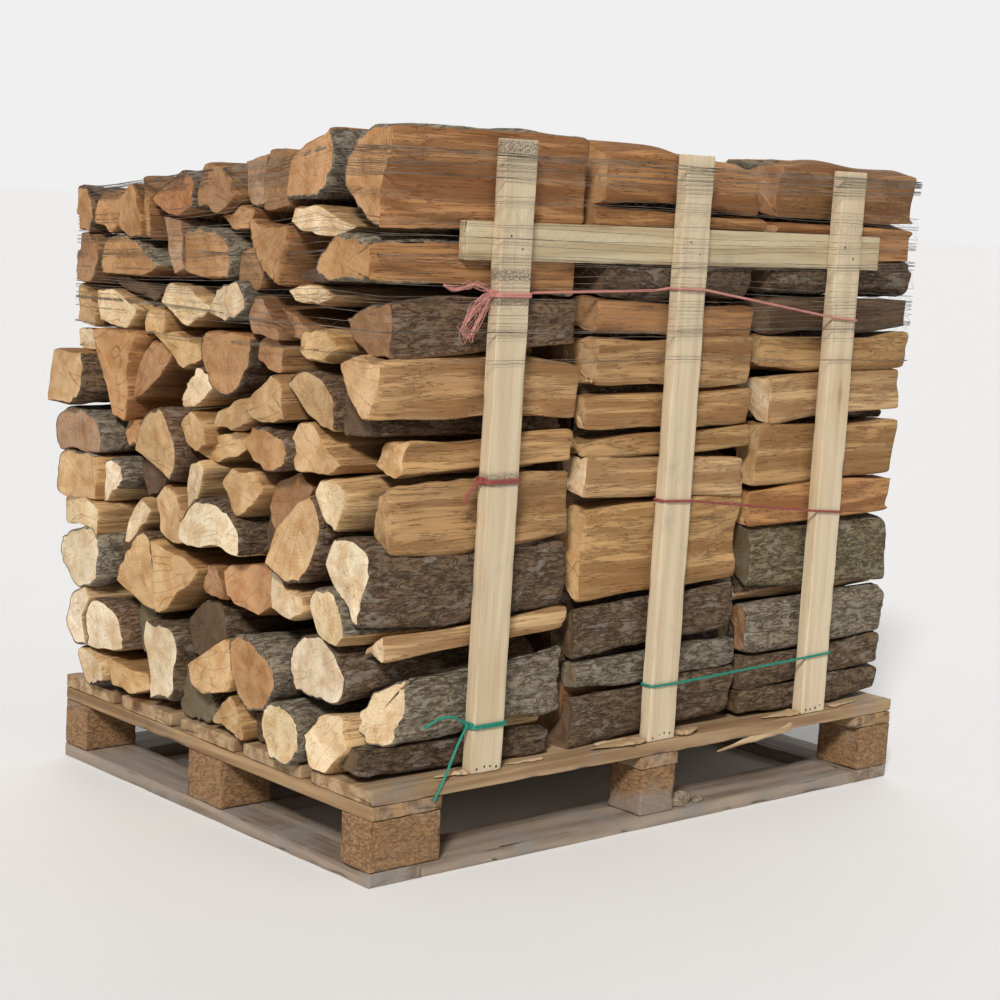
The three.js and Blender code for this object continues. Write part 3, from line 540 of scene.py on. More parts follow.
# Every log is the outline of its section in mm, (y, z), seen along its grain, course by course up the
# stack and from the +Y side to the -Y side.
innerCourses = [
    [
        log("pale b", 0, (428, 200), (404, 212), (320, 206), (314, 166), (392, 150), (416, 172)),
        log("ochre", 12, (316, 204), (252, 190), (208, 198), (208, 168), (262, 150), (312, 158)),
        log("cream b", 0, (206, 262), (196, 292), (118, 288), (106, 258), (132, 166), (200, 156)),
        log("moss a", 22, (116, 214), (100, 246), (70, 240), (14, 168), (40, 150), (124, 152)),
        log("ochre", 6, (8, 160), (-16, 192), (-46, 208), (-76, 188), (-90, 152)),
        log("umber a", 26, (-80, 188), (-104, 198), (-172, 176), (-178, 152), (-94, 152)),
        log("pale b", -18, (-164, 200), (-180, 232), (-216, 240), (-264, 224), (-268, 176), (-238, 150),
            (-190, 148)),
        log("pale", -8, (-268, 196), (-300, 230), (-352, 236), (-366, 198), (-344, 178), (-318, 150),
            (-290, 154)),
        log("cream b", -8, (436, 252), (414, 304), (372, 324), (358, 302), (384, 270), (380, 222),
            (414, 218)),
        log("cream b", -6, (380, 276), (356, 300), (298, 297), (270, 272), (266, 226), (306, 214),
            (376, 216)),
        log("moss a", 30, (264, 318), (214, 314), (206, 268), (212, 232), (262, 230), (268, 272)),
    ],
    [
        log("ochre", 0, (72, 242), (30, 266), (-24, 298), (-50, 286), (-52, 230), (16, 206), (52, 214)),
        log("orange b", -8, (-56, 262), (-66, 312), (-126, 318), (-188, 288), (-184, 246), (-146, 214),
            (-104, 202), (-72, 218)),
        log("cream b", 0, (-188, 284), (-206, 322), (-268, 348), (-326, 324), (-364, 292), (-346, 262),
            (-290, 250), (-214, 248)),
        log("umber a", 28, (128, 305), (62, 346), (10, 348), (-8, 296), (22, 270), (72, 252), (108, 262)),
        log("cream b", -18, (452, 376), (448, 398), (362, 426), (334, 402), (340, 336), (392, 322),
            (432, 344)),
        log("umber a", 36, (332, 400), (286, 398), (290, 352), (338, 336)),
        log("ochre b", -6, (288, 350), (258, 402), (216, 438), (192, 430), (178, 386), (172, 314),
            (208, 318)),
        log("ochre", 0, (176, 388), (186, 426), (76, 408), (44, 394), (112, 344), (166, 316)),
        log("tawny", 10, (48, 358), (34, 404), (6, 404), (-10, 356)),
        log("orange", 14, (6, 400), (-12, 412), (-136, 424), (-146, 370), (-110, 346), (-16, 362)),
        log("pale", 0, (-148, 370), (-146, 430), (-166, 438), (-186, 412), (-244, 404), (-248, 384),
            (-212, 362)),
        log("pale b", -6, (-248, 392), (-264, 416), (-326, 418), (-372, 364), (-350, 342), (-300, 346)),
    ],
    [
        log("pale", -12, (456, 416), (448, 456), (376, 468), (326, 452), (342, 410), (368, 422)),
        log("pale", 0, (278, 404), (276, 440), (246, 486), (198, 470), (216, 442), (258, 406)),
        log("ochre b", -16, (456, 470), (456, 534), (444, 545), (352, 540), (350, 470)),
        log("cream b", -6, (348, 468), (346, 530), (322, 543), (292, 540), (280, 512), (300, 490)),
        log("umber", 24, (276, 516), (278, 545), (236, 548), (162, 526), (196, 506), (248, 484)),
        log("ochre", 0, (196, 496), (162, 522), (120, 508), (98, 478), (86, 442), (136, 436), (172, 446)),
        log("pale", -4, (98, 484), (100, 520), (78, 560), (50, 572), (34, 558), (66, 508)),
        log("cream b", -14, (86, 440), (86, 468), (62, 505), (38, 516), (-36, 502), (-78, 476), (-92, 446),
            (-88, 438)),
        log("ochre", 0, (-18, 548), (-40, 568), (-100, 568), (-114, 550), (-78, 508), (-52, 504)),
        log("umber a", 28, (-96, 448), (-86, 480), (-104, 508), (-132, 482), (-150, 470), (-152, 440)),
        log("tawny", 18, (-106, 516), (-120, 552), (-180, 575), (-220, 560), (-206, 538), (-162, 498),
            (-136, 484)),
        log("ochre b", -8, (-156, 440), (-166, 492), (-206, 538), (-238, 552), (-272, 512), (-266, 458),
            (-240, 424), (-206, 420)),
        log("pale", 0, (-240, 554), (-256, 580), (-290, 586), (-342, 568), (-336, 546), (-302, 504),
            (-276, 510)),
    ],
    [
        log("rose b", -20, (456, 548), (456, 600), (424, 620), (350, 608), (330, 586), (336, 552)),
        log("orange", 20, (328, 582), (318, 604), (246, 600), (262, 570), (300, 560)),
        log("ochre b", -8, (268, 562), (240, 602), (196, 632), (150, 645), (124, 618), (98, 588),
            (122, 532), (142, 524)),
        log("ochre", 0, (126, 624), (96, 645), (46, 635), (30, 602), (66, 592), (100, 594)),
        log("ochre", 14, (96, 584), (62, 600), (-18, 626), (-66, 622), (-14, 584), (34, 568)),
        log("ochre", 0, (20, 655), (26, 632), (-26, 630), (-80, 645), (-88, 685), (-30, 674)),
        log("orange b", -6, (-62, 608), (-88, 640), (-182, 634), (-204, 618), (-196, 590), (-150, 578),
            (-98, 584)),
        log("ochre", 0, (-186, 636), (-202, 656), (-228, 660), (-276, 626), (-318, 608), (-290, 592),
            (-208, 590)),
    ],
    [
        log("pale", 6, (456, 712), (456, 742), (368, 750), (358, 714)),
        log("ochre b", -44, (456, 628), (456, 708), (358, 710), (350, 652), (388, 628)),
        log("orange", -4, (354, 700), (364, 746), (246, 750), (282, 680), (300, 606), (334, 608),
            (346, 650)),
        log("orange", 10, (242, 745), (162, 736), (172, 712), (226, 672), (280, 640), (282, 676)),
        log("ochre", 0, (214, 756), (150, 764), (84, 748), (66, 728), (118, 706), (158, 732)),
        log("pale b", -4, (112, 656), (100, 692), (72, 716), (52, 712), (28, 690), (60, 662), (80, 652)),
        log("orange b", 0, (50, 772), (50, 728), (28, 692), (0, 680), (-38, 700), (-64, 736), (-68, 772)),
        log("tawny", 14, (-70, 774), (-72, 742), (-104, 730), (-140, 730), (-148, 766), (-110, 780)),
        log("ochre", -8, (-72, 658), (-98, 692), (-140, 722), (-162, 708), (-180, 654), (-120, 648)),
        log("ochre b", 0, (-160, 714), (-214, 734), (-264, 725), (-294, 700), (-292, 656), (-260, 654),
            (-212, 680)),
        log("umber a", 16, (-297, 712), (-326, 702), (-366, 658), (-300, 650)),
    ],
    [
        log("ochre", 0, (456, 754), (456, 812), (440, 820), (394, 782), (392, 752)),
        log("pale", 0, (382, 758), (386, 812), (330, 816), (254, 792), (288, 752)),
        log("umber", 16, (366, 836), (310, 838), (202, 822), (226, 806), (330, 820)),
        log("ochre", 8, (250, 786), (222, 802), (180, 798), (186, 766), (238, 756)),
        log("pale", 0, (196, 808), (168, 836), (110, 836), (40, 814), (60, 800), (106, 776), (140, 788)),
        log("pale b", -4, (42, 804), (20, 836), (-36, 850), (-58, 826), (-48, 802), (0, 792)),
        log("tawny", 0, (-62, 802), (-78, 832), (-100, 830), (-148, 790), (-144, 774), (-82, 780)),
        log("tawny", 20, (-112, 822), (-160, 812), (-204, 790), (-198, 774), (-152, 784)),
        log("ochre", -4, (-202, 762), (-212, 788), (-245, 800), (-300, 790), (-302, 772), (-268, 752),
            (-225, 746)),
        log("pale", 6, (-150, 848), (-180, 862), (-258, 860), (-286, 850), (-240, 830), (-172, 832)),
        log("tawny", 0, (456, 824), (456, 905), (416, 898), (380, 864), (404, 828)),
        log("orange b", -4, (370, 846), (366, 892), (330, 906), (294, 902), (202, 862), (244, 842),
            (320, 842)),
        log("rose", 6, (206, 942), (152, 936), (138, 862), (166, 850), (186, 888)),
        log("orange b", 0, (130, 925), (60, 932), (12, 925), (-10, 905), (-8, 858), (60, 854), (134, 860)),
        log("tawny", 14, (-12, 905), (-58, 912), (-84, 888), (-60, 852), (-12, 854)),
        log("orange b", -6, (-60, 948), (-80, 902), (-120, 864), (-146, 852), (-160, 892), (-166, 945)),
        log("umber", 10, (-170, 872), (-250, 896), (-260, 868), (-200, 864)),
    ],
    [
        log("orange b", 0, (456, 910), (456, 976), (426, 976), (400, 940), (412, 906)),
        log("orange", 0, (398, 930), (396, 964), (370, 980), (326, 972), (322, 926), (350, 912)),
        log("orange", -4, (318, 924), (318, 966), (280, 990), (264, 980), (254, 910), (290, 908)),
        log("orange", 6, (262, 1008), (248, 1002), (232, 906), (250, 912)),
        log("rust b", 0, (236, 968), (194, 990), (142, 1014), (100, 1006), (96, 956), (150, 944)),
        log("tawny", -4, (96, 1004), (76, 1028), (20, 1030), (-8, 1010), (-14, 978), (36, 958), (90, 964)),
        log("orange", 8, (40, 952), (-14, 972), (-54, 968), (-44, 940), (10, 934)),
        log("rose", 12, (-12, 1040), (-20, 986), (-50, 974), (-76, 986), (-76, 1050)),
        log("tawny", 0, (-78, 1012), (-98, 1050), (-152, 1050), (-154, 974), (-84, 968)),
        log("orange b", -8, (-156, 986), (-160, 1040), (-190, 1058), (-262, 1092), (-276, 1050),
            (-262, 1008), (-236, 986)),
        log("pale", 0, (-166, 954), (-176, 978), (-240, 978), (-332, 958), (-290, 940), (-200, 942)),
    ],
]

# The column on the -Y side, rank by rank.
sideCourses = {
    "front": [
        [
            log("umber a", 4, (-346, 172), (-366, 194), (-398, 190), (-398, 150), (-330, 150)),
        ],
        [
            log("pale a", 52, (-350, 238), (-360, 280), (-398, 312), (-398, 204), (-372, 202),
                slant=(-1.1, 0.35)),
            log("pale", 30, (-376, 366), (-398, 372), (-398, 338), (-352, 338)),
        ],
        [
            log("cream b", 0, (-288, 458), (-306, 492), (-345, 500), (-388, 484), (-398, 458), (-398, 380),
                (-384, 376), (-350, 414)),
            log("ochre b", 36, (-342, 508), (-352, 552), (-372, 580), (-398, 594), (-398, 490),
                (-372, 500)),
        ],
        [
            log("ochre", 58, (-344, 642), (-398, 652), (-398, 606), (-356, 600), (-322, 612)),
        ],
        [
            log("ochre", 0, (-302, 750), (-328, 708), (-370, 674), (-398, 676), (-398, 764), (-350, 768)),
        ],
        [
            log("tawny b", 20, (-284, 826), (-312, 842), (-392, 856), (-398, 852), (-398, 776), (-342, 770),
                (-304, 798)),
            log("orange b", -22, (-252, 892), (-300, 930), (-350, 938), (-398, 934), (-398, 866),
                (-330, 870), (-262, 868)),
        ],
        [
            log("orange b", 0, (-282, 1010), (-290, 1054), (-332, 1094), (-398, 1102), (-398, 958),
                (-384, 960), (-324, 986)),
        ],
    ],
    "middle": [
        [
            log("umber a", 0, (-370, 202), (-376, 236), (-398, 230), (-398, 150), (-330, 150)),
        ],
        [
            log("gray a", 0, (-356, 242), (-350, 258), (-370, 290), (-398, 288), (-398, 238)),
            log("umber a", 0, (-370, 298), (-330, 328), (-350, 338), (-376, 366), (-384, 384), (-398, 380),
                (-398, 296)),
        ],
        [
            log("ochre", 0, (-386, 388), (-398, 392), (-398, 532), (-340, 540), (-306, 500), (-276, 500),
                (-274, 458), (-330, 424)),
            log("pale", 0, (-346, 548), (-398, 540), (-398, 606), (-324, 604), (-348, 574)),
        ],
        [
            log("ochre", 0, (-320, 614), (-398, 612), (-398, 648), (-300, 646), (-282, 632)),
        ],
        [
            log("ochre", 0, (-372, 660), (-398, 654), (-398, 712), (-310, 716), (-336, 696)),
        ],
        [
            log("ochre", 0, (-300, 722), (-398, 718), (-398, 798), (-306, 794), (-306, 768), (-274, 748)),
            log("orange", 0, (-250, 806), (-398, 802), (-398, 854), (-292, 848), (-244, 826)),
            log("umber a", 0, (-262, 870), (-292, 856), (-398, 860), (-398, 920), (-306, 926), (-254, 896)),
        ],
        [
            log("orange", 0, (-300, 934), (-398, 926), (-398, 996), (-266, 1002), (-262, 984),
                (-306, 962)),
            log("orange", 0, (-268, 1012), (-398, 1002), (-398, 1078), (-340, 1092), (-284, 1080),
                (-280, 1052)),
        ],
    ],
    "rear": [
        [
            log("umber a", 0, (-366, 196), (-398, 196), (-398, 150), (-330, 150)),
        ],
        [
            log("umber a", 0, (-370, 202), (-366, 238), (-360, 256), (-398, 252), (-398, 200)),
            log("tawny a", 0, (-356, 262), (-398, 258), (-398, 338), (-374, 350), (-334, 328), (-368, 296)),
        ],
        [
            log("moss a", 0, (-378, 366), (-398, 358), (-398, 470), (-340, 482), (-280, 470), (-276, 430),
                (-332, 424)),
            log("orange", 0, (-280, 478), (-340, 488), (-398, 478), (-398, 546), (-344, 546), (-304, 504)),
        ],
        [
            log("ochre", 0, (-350, 552), (-398, 552), (-398, 650), (-304, 648), (-292, 630), (-342, 600)),
        ],
        [
            log("pale", 0, (-372, 664), (-398, 660), (-398, 734), (-304, 728), (-304, 716), (-330, 704)),
        ],
        [
            log("ochre", 0, (-300, 734), (-398, 742), (-398, 802), (-306, 796), (-306, 768), (-274, 748)),
            log("umber", 0, (-250, 806), (-398, 808), (-398, 866), (-292, 856), (-244, 826)),
            log("umber a", 0, (-262, 872), (-398, 872), (-398, 924), (-306, 928), (-254, 896)),
        ],
        [
            log("orange", 0, (-300, 934), (-398, 930), (-398, 984), (-266, 1002), (-262, 984),
                (-306, 962)),
            log("tawny", 0, (-268, 1012), (-398, 990), (-398, 1080), (-340, 1088), (-284, 1080),
                (-280, 1052)),
        ],
    ],
}


def fitted(outline):
    # The drawn width is drawn in to the width that the uprights leave.
    y = stack["front"] + (outline[:, 0] - stack["drawnFront"]) * stack["span"] / stack["drawnSpan"]
    return np.stack([y, outline[:, 1]], axis=1)


def barkStretch(outline, cover):
    # Returns the first and last corner of the bark and the pith. The bark is the longest way from one
    # sharp corner to the next; the pith is the corner farthest from the middle of that way.
    count = len(outline)
    middle = outline.mean(axis=0)
    back = np.roll(outline, 1, axis=0) - outline
    ahead = np.roll(outline, -1, axis=0) - outline
    reach = np.linalg.norm(back, axis=1) * np.linalg.norm(ahead, axis=1)
    angle = np.degrees(np.arccos(np.clip((back * ahead).sum(axis=1) / reach, -1, 1)))
    sharp = np.flatnonzero(angle < stack["cornerLimit"])
    if cover == "a" or (cover == "b" and len(sharp) == 0):
        return (0, count), middle
    if cover == "":
        far = outline[int(np.argmin(angle))]
        return None, middle + (far - middle) * 1.8
    if len(sharp) == 1:
        return (sharp[0] + 1, sharp[0] + count - 1), outline[sharp[0]]
    step = np.linalg.norm(ahead, axis=1)
    best = None
    for k, corner in enumerate(sharp):
        following = sharp[(k + 1) % len(sharp)]
        span = (following - corner) % count or count
        ways = [(corner + n) % count for n in range(span)]
        length = step[ways].sum() * (1 + 0.6 * (span - 1))
        if best is None or length > best[0]:
            best = (length, corner, span)
    _, corner, span = best
    arc = outline[[(corner + n) % count for n in range(span + 1)]]
    others = [outline[(corner + span + n) % count] for n in range(1, count - span)]
    chord = (arc[0] + arc[-1]) / 2
    if not others:
        return (corner, corner + span), chord
    away = [np.linalg.norm(point - arc.mean(axis=0)) for point in others]
    return (corner, corner + span), others[int(np.argmax(away))]


def sectionRing(outline, stretch, count):
    # Points evenly spaced round the outline, with bark drawn round and split corners kept.
    corners = np.vstack([outline, outline[:1]])
    steps = np.linalg.norm(np.diff(corners, axis=0), axis=1)
    gone = np.concatenate([[0], np.cumsum(steps)])
    s = np.linspace(0, gone[-1], count, endpoint=False)
    ring = np.stack([np.interp(s, gone, corners[:, axis]) for axis in range(2)], axis=1)
    bark = np.zeros(count)
    if stretch is not None:
        first, last = stretch
        start = gone[first % len(outline)]
        width = gone[-1] if last - first >= len(outline) else (gone[last % len(outline)] - start) % gone[-1]
        bark = ((s - start) % gone[-1] < width).astype(float)
    ease = 0.06 + 0.44 * bark
    for _ in range(6):
        ring = ring + ease[:, None] * ((np.roll(ring, 1, axis=0) + np.roll(ring, -1, axis=0)) / 2 - ring)
    for _ in range(2):
        bark = (np.roll(bark, 1) + 2 * bark + np.roll(bark, -1)) / 4
    return ring, bark


def skinHeight(rng, gridU, gridT, bark, slim, rounds, spot):
    # How far the skin stands out from the outline, mm: fibres and ledges on split faces, furrows where
    # there is bark, and a slow waver; the sawn edges are rounded and dented.
    fibres = relief["fibres"] * lattice(rng, rounds // 2, 4, gridU, gridT)
    ledges = relief["ledges"] * np.tanh(3 * lattice(rng, 9, 3, gridU + 0.05 * gridT, gridT))
    folds = np.abs(lattice(rng, rounds // 3, 9, gridU, gridT))
    furrows = relief["furrows"] - 2 * relief["furrows"] * folds
    waver = spot["waver"] * lattice(rng, 5, 3, gridU, gridT) - spot["inset"]
    height = slim * ((1 - bark) * (fibres + ledges) + bark * furrows + waver) + spot["swell"]
    toEnd = np.minimum(gridT, 1 - gridT) * (spot["to"] - spot["from"])
    height -= relief["endRound"] * np.exp(-toEnd / 2.5)
    dents = np.clip(lattice(rng, 8, 6, gridU, gridT), 0, 1)
    return height - relief["dents"] * dents * np.exp(-toEnd / 9)


def sawnEnd(rng, rim, middle, bark, u):
    # The rim drawn in ring by ring to the middle, with torn patches and saw marks between the two.
    discs = middle + (rim - middle)[None] * endRings[:, None, None]
    gridR = np.broadcast_to(endRings[:, None], discs.shape[:2])
    turn = np.broadcast_to(u, gridR.shape)
    torn = relief["torn"] * np.tanh(2.5 * lattice(rng, 7, 3, turn, gridR))
    marks = relief["sawMarks"] * lattice(rng, 21, 6, turn, gridR)
    rough = (torn + marks) * np.sin(np.pi * np.clip(gridR, 0.04, 0.96))
    facts = np.stack([bark * (gridR > 0.95), np.ones_like(gridR)], axis=2)
    return discs, rough, facts


def heldBack(rows, keepOut, near):
    # A point past a batten's, an upright's or the deck's face is set on that face.
    y, z = rows[:, :, 1], rows[:, :, 2]
    for side, low, high, face in keepOut:
        level = (z > low) & (z < high)
        rows[:, :, 1] = np.where(level & (y * side > face), face * side, y)
    rows[:, :, 1] = np.clip(rows[:, :, 1], -near, stack["face"])
    rows[:, :, 2] = np.maximum(z, deckTop + 0.4)


def carveLog(shell, piece, rank, spot, tone, seed, keepOut):
    # The section ring is carried along X from one tilted saw plane to the other, bent a little and raised
    # by its skin's height along its normals; rings that shrink on the saw planes close its ends.
    rng = np.random.default_rng(seed)
    outline = fitted(piece["outline"])
    middle = outline.mean(axis=0)
    stretch, pith = barkStretch(outline, piece["cover"])
    ring, bark = sectionRing(outline, stretch, rank["round"])
    slim = np.clip(np.linalg.norm(ring - middle, axis=1).min() / relief["slimBelow"], 0.2, 1)
    t = np.concatenate([[0, 0.004], np.linspace(0.02, 0.98, rank["along"]), [0.996, 1]])
    u = np.linspace(0, 1, rank["round"], endpoint=False)
    gridU, gridT = np.meshgrid(u, t)
    barkGrid = np.broadcast_to(bark, gridT.shape)
    height = skinHeight(rng, gridU, gridT, barkGrid, slim, rank["round"], spot)
    bow = rng.uniform(-relief["bend"], relief["bend"], 2) * np.sin(np.pi * t)[:, None]
    bow = bow + np.array([0, rng.uniform(-1, 1) * spot["slope"]]) * (t - 0.5)[:, None]
    taper = 1 + rng.uniform(-0.12, 0.06) * (t - 0.5)
    section = middle + (ring - middle) * taper[:, None, None] + bow[:, None, :]
    section = section + height[:, :, None] * outwardNormals(ring, middle)
    tip = stack["levelTip"] if middle[1] > stack["netFrom"] else stack["tip"]
    tilt = rng.uniform(-tip, tip, (2, 2)) + np.array([piece["slant"], (0, 0)])

    def sawPlane(side, points, rough=0.0):
        # the end's own X, the tilt's share and the roughness
        return spot["to" if side else "from"] + ((points - middle) * tilt[side]).sum(axis=-1) + rough

    x = sawPlane(0, section) * (1 - gridT) + sawPlane(1, section) * gridT
    rows = [np.concatenate([x[:, :, None], section], axis=2)]
    facts = [np.stack([barkGrid, np.zeros_like(gridT)], axis=2)]
    for side, rim, turned in ((0, section[0], 1), (1, section[-1], -1)):
        discs, rough, endFacts = sawnEnd(rng, rim, middle, bark, u)
        end = np.concatenate([sawPlane(side, discs, rough)[:, :, None], discs], axis=2)
        rows.insert(side * len(rows), end[::turned])
        facts.insert(side * len(facts), endFacts[::turned])
    rows = np.concatenate(rows)
    facts = np.concatenate(facts)
    heldBack(rows, keepOut, spot["near"])

    away = rows[:, :, 1:] - pith
    distance = np.linalg.norm(away, axis=2)
    angle = np.arctan2(away[:, :, 1], away[:, :, 0])
    chance = rng.uniform(0, 1)
    sawn = facts[:, :, 1:2]
    endTone, sideTone = (np.array(colour) for colour in woodTones[tone])
    shade = rng.uniform(0.86, 1.1)
    colour = (endTone * sawn + sideTone * (1 - sawn)) * [shade, shade, shade * rng.uniform(0.94, 1.03), 1]
    barkName = tone if tone in barkTones else rng.choice(["umber", "plain", "gray"])
    barkColour = np.array(barkTones[barkName]) * rng.uniform(0.8, 1.15)
    shell.add(
        rows * mm,
        woodTone=colour,
        barkTone=np.broadcast_to(barkColour, colour.shape),
        woodFacts=np.stack([facts[:, :, 0], facts[:, :, 1], distance / distance.max()], axis=2),
        woodPlace=np.stack([distance * mm, angle, np.full_like(angle, chance)], axis=2),
    )


def logFinish():
    # Bark lies over the wood where the log's own facts say so; the wood is a sawn end or a split face.
    f = Finish("split firewood")
    tone = f.reading("woodTone", "Color")
    barkTone = f.reading("barkTone", "Color")
    facts = f.reading("woodFacts")
    where = f.reading("woodPlace")
    bark, sawn, heart = (f.part(facts, axis) for axis in "XYZ")
    distance, angle, chance = (f.part(where, axis) for axis in "XYZ")
    place = f.apart(chance)

    # split faces: long fibres, broad colour streaks and thin dark tears along the grain
    fibre = f.noise(f.stretched(place, (7, 240, 240)), detail=2, rough=0.7)
    streak = f.noise(f.stretched(place, (2.6, 38, 38)), detail=2, rough=0.65, warp=0.3)
    tearLine = 1 - (fibre - streak).math("ABSOLUTE").band(0.002, 0.016)
    sideColour = f.blend(streak.band(0.36, 0.64), tone, (0.56, 0.48, 0.41, 1), "MULTIPLY")
    sideColour = f.blend(fibre.band(0.42, 0.7) * 0.7, sideColour, (1.34, 1.32, 1.28, 1), "MULTIPLY")
    sideColour = f.blend(tearLine * 0.7, sideColour, (0.42, 0.32, 0.25, 1), "MULTIPLY")

    # sawn ends: growth rings, speckle, cracks running out from the pith, pale sapwood
    speckle = f.noise(place, 330, detail=2, rough=0.8)
    patch = f.noise(place, 30, detail=2, rough=0.65)
    ringWave = (distance * 1100 + patch * 10).math("SINE")
    fan = f.add("CombineXYZ", {}, {0: angle * 2.6, 1: distance * 5 + patch * 0.16, 2: chance * 40})
    ray = f.noise(fan, 2.2, detail=0)
    crackLine = (1 - (ray - 0.5).math("ABSOLUTE").band(0.001, 0.008)) * heart.band(0.1, 0.4)
    sap = (heart + (patch - 0.5) * 0.2).band(0.6, 0.7) * sawn
    endColour = f.blend(patch.band(0.38, 0.68) * 0.8, tone, (0.76, 0.62, 0.47, 1), "MULTIPLY")
    endColour = f.blend(sap * 0.6, endColour, (1.24, 1.28, 1.36, 1), "MULTIPLY")
    endColour = f.blend(ringWave.band(0.0, 1.0) * 0.2, endColour, (0.7, 0.58, 0.46, 1), "MULTIPLY")
    endColour = f.blend(speckle.band(0.5, 0.68) * 0.5, endColour, (0.62, 0.52, 0.43, 1), "MULTIPLY")
    endColour = f.blend(crackLine * 0.4, endColour, (0.34, 0.25, 0.18, 1), "MULTIPLY")

    # bark: long ridges with dark furrows between them, crumbling and weathered gray on the crests
    ridge = f.noise(f.stretched(place, (16, 62, 62)), detail=3, rough=0.7, warp=0.8)
    furrow = 1 - (ridge - 0.5).math("ABSOLUTE").band(0.0, 0.05)
    crumb = f.noise(f.stretched(place, (70, 180, 180)), detail=2, rough=0.75)
    barkColour = f.blend(crumb.band(0.38, 0.66), barkTone, (0.5, 0.45, 0.41, 1), "MULTIPLY")
    barkColour = f.blend((ridge * patch * 4).band(1.0, 1.6) * 0.4, barkColour, (0.27, 0.25, 0.215, 1))
    barkColour = f.blend(furrow * 0.6, barkColour, (0.26, 0.2, 0.17, 1), "MULTIPLY")

    woodColour = f.blend(sawn, sideColour, endColour)
    barkMask = (bark + (crumb - 0.5) * 0.7).band(0.42, 0.58)
    colour = f.blend(barkMask, woodColour, barkColour)
    splitHeight = (fibre + streak - tearLine * 0.5) * (1 - sawn)
    woodHeight = splitHeight + (speckle * 0.8 + patch - crackLine * 0.6) * sawn
    barkHeight = crumb + ridge * 2 - furrow
    height = woodHeight * (1 - barkMask) + barkHeight * barkMask
    roughness = 0.8 + barkMask * 0.12 + speckle * 0.06
    return f.close(colour, roughness, f.bump(height, 1.8 * mm, 0.85), Specular_IOR_Level=0.25)


def logSpot(rankName, course, piece, inside, rng):
    # Where a log begins and ends along X: the outer ends follow the load's skew, less the log's inset. A
    # log hidden in the core is fattened and kept away from the -Y side.
    fromX, toX = ranks[rankName]["from"], ranks[rankName]["to"]
    skew = stack["lean"] * (piece["outline"][0][0] - stack["drawnFront"]) / stack["drawnSpan"]
    if rankName == "front":
        fromX += piece["inset"] - skew + rng.uniform(-4, 4)
        toX -= rng.uniform(0, 24)
    elif rankName == "rear":
        fromX += rng.uniform(0, 20)
        toX += skew - piece["inset"] + rng.uniform(-4, 4)
    else:
        fromX += rng.uniform(0, 22)
        toX -= rng.uniform(0, 22)
    hidden = rankName == "middle" and inside and piece["outline"][:, 0].max() < stack["coreEdge"]
    swell = stack["coreSwell"][course] if hidden else stack["swell"]
    near = stack["coreNear" if hidden else "face"]
    return {"from": fromX, "to": toX, "swell": swell, "near": near, **(innerSkin if inside else sideSkin)}


def battenSlot(side, node):
    # What a log has to keep out of: the batten's side, its height from and to, and its inner face.
    low, high = nodeBox(node)
    return side, low[2] - 1, high[2] + 1, (-high[1] if side < 0 else low[1]) - 1


def makeLogs():
    # Every rank repeats the inner outlines and adds its own column on the -Y side.
    material = logFinish()
    keepOut = [battenSlot(-1, "batten_front"), battenSlot(1, "batten_rear")]
    total = 0
    for rankIndex, (rankName, rank) in enumerate(ranks.items()):
        for course, inner in enumerate(innerCourses):
            splitTones = [piece["tone"] for piece in inner if piece["cover"] != "a"]
            shell = Shell()
            for place, piece in enumerate(inner + sideCourses[rankName][course]):
                inside = place < len(inner)
                seed = 1000 * rankIndex + 100 * course + place
                rng = np.random.default_rng(seed + 77)
                spot = logSpot(rankName, course, piece, inside, rng)
                tone = piece["tone"]
                if inside and rankName == "rear" and piece["cover"] != "a":
                    tone = str(rng.choice(splitTones))
                elif inside and rankName == "middle":
                    # the middle rank is seen only through the gaps, so its inner logs are mostly umber:
                    # painted shade that darkens those gaps
                    tone = str(rng.choice(["umber", "tawny", "ochre"], p=[0.6, 0.25, 0.15]))
                carveLog(shell, piece, rank, spot, tone, seed, keepOut)
                total += 1
            name = f"logs_{rankName}_{course + 1}"
            shell.finish("split_" + name, material, "split_log", (name,))
    print("logs made:", total)


twine = {
    "radius": 2.4,  # mm, as are the other lengths
    "lobes": 3,
    "lobeDepth": 0.16,
    "turnLength": 13.0,
    "step": 2.4,
    "sides": 10,
    "knot": 2.3,
    "lift": 2.6,  # how far the twine's middle stands off an outer face
    "backLift": 1.9,  # and off an inner face
    "fibreStep": 5.0,
    "fibreRadius": 0.45,
    "fibreRoom": (-429, -402),  # Y of the loose fibres
}
slats = [nodeBox(f"upright_front_{number}") for number in (1, 2, 3)]
uprightXs = [(low[0] + high[0]) / 2 for low, high in slats]
halfWidth = (slats[0][1][0] - slats[0][0][0]) / 2
frameFace = -slats[0][1][1]
frameFront = -slats[0][0][1]

# each twine: its colour lit on the lobes, then the same colour darker as painted shade between them
twineTones = {
    "low": (paint(30, 150, 126), paint(12, 92, 78)),
    "mid": (paint(170, 84, 76), paint(100, 46, 42)),
    "high": (paint(216, 154, 142), paint(160, 92, 84)),
}


def acrossFace(side, x, z, drop=0):
    # The two corners of a straight run over an upright's outer face. Side is -1 in front, 1 at the rear.
    outer = side * (frameFront + twine["lift"])
    return [(x - halfWidth, outer, z), (x + halfWidth, outer, z + drop)]


def leftEdge(side, x, z):
    # Round the upright's -X edge, from its inner face to its outer one.
    edge = x - halfWidth - twine["lift"]
    return [(edge, side * frameFace, z), (edge, side * frameFront, z)]


def rightEdge(side, x, z):
    # Round the +X edge, from the outer face to the inner one.
    edge = x + halfWidth + twine["lift"]
    return [(edge, side * frameFront, z), (edge, side * frameFace, z)]


def behind(side, x, z):
    # One point behind the inner face.
    return [(x, side * (frameFace - twine["backLift"]), z)]


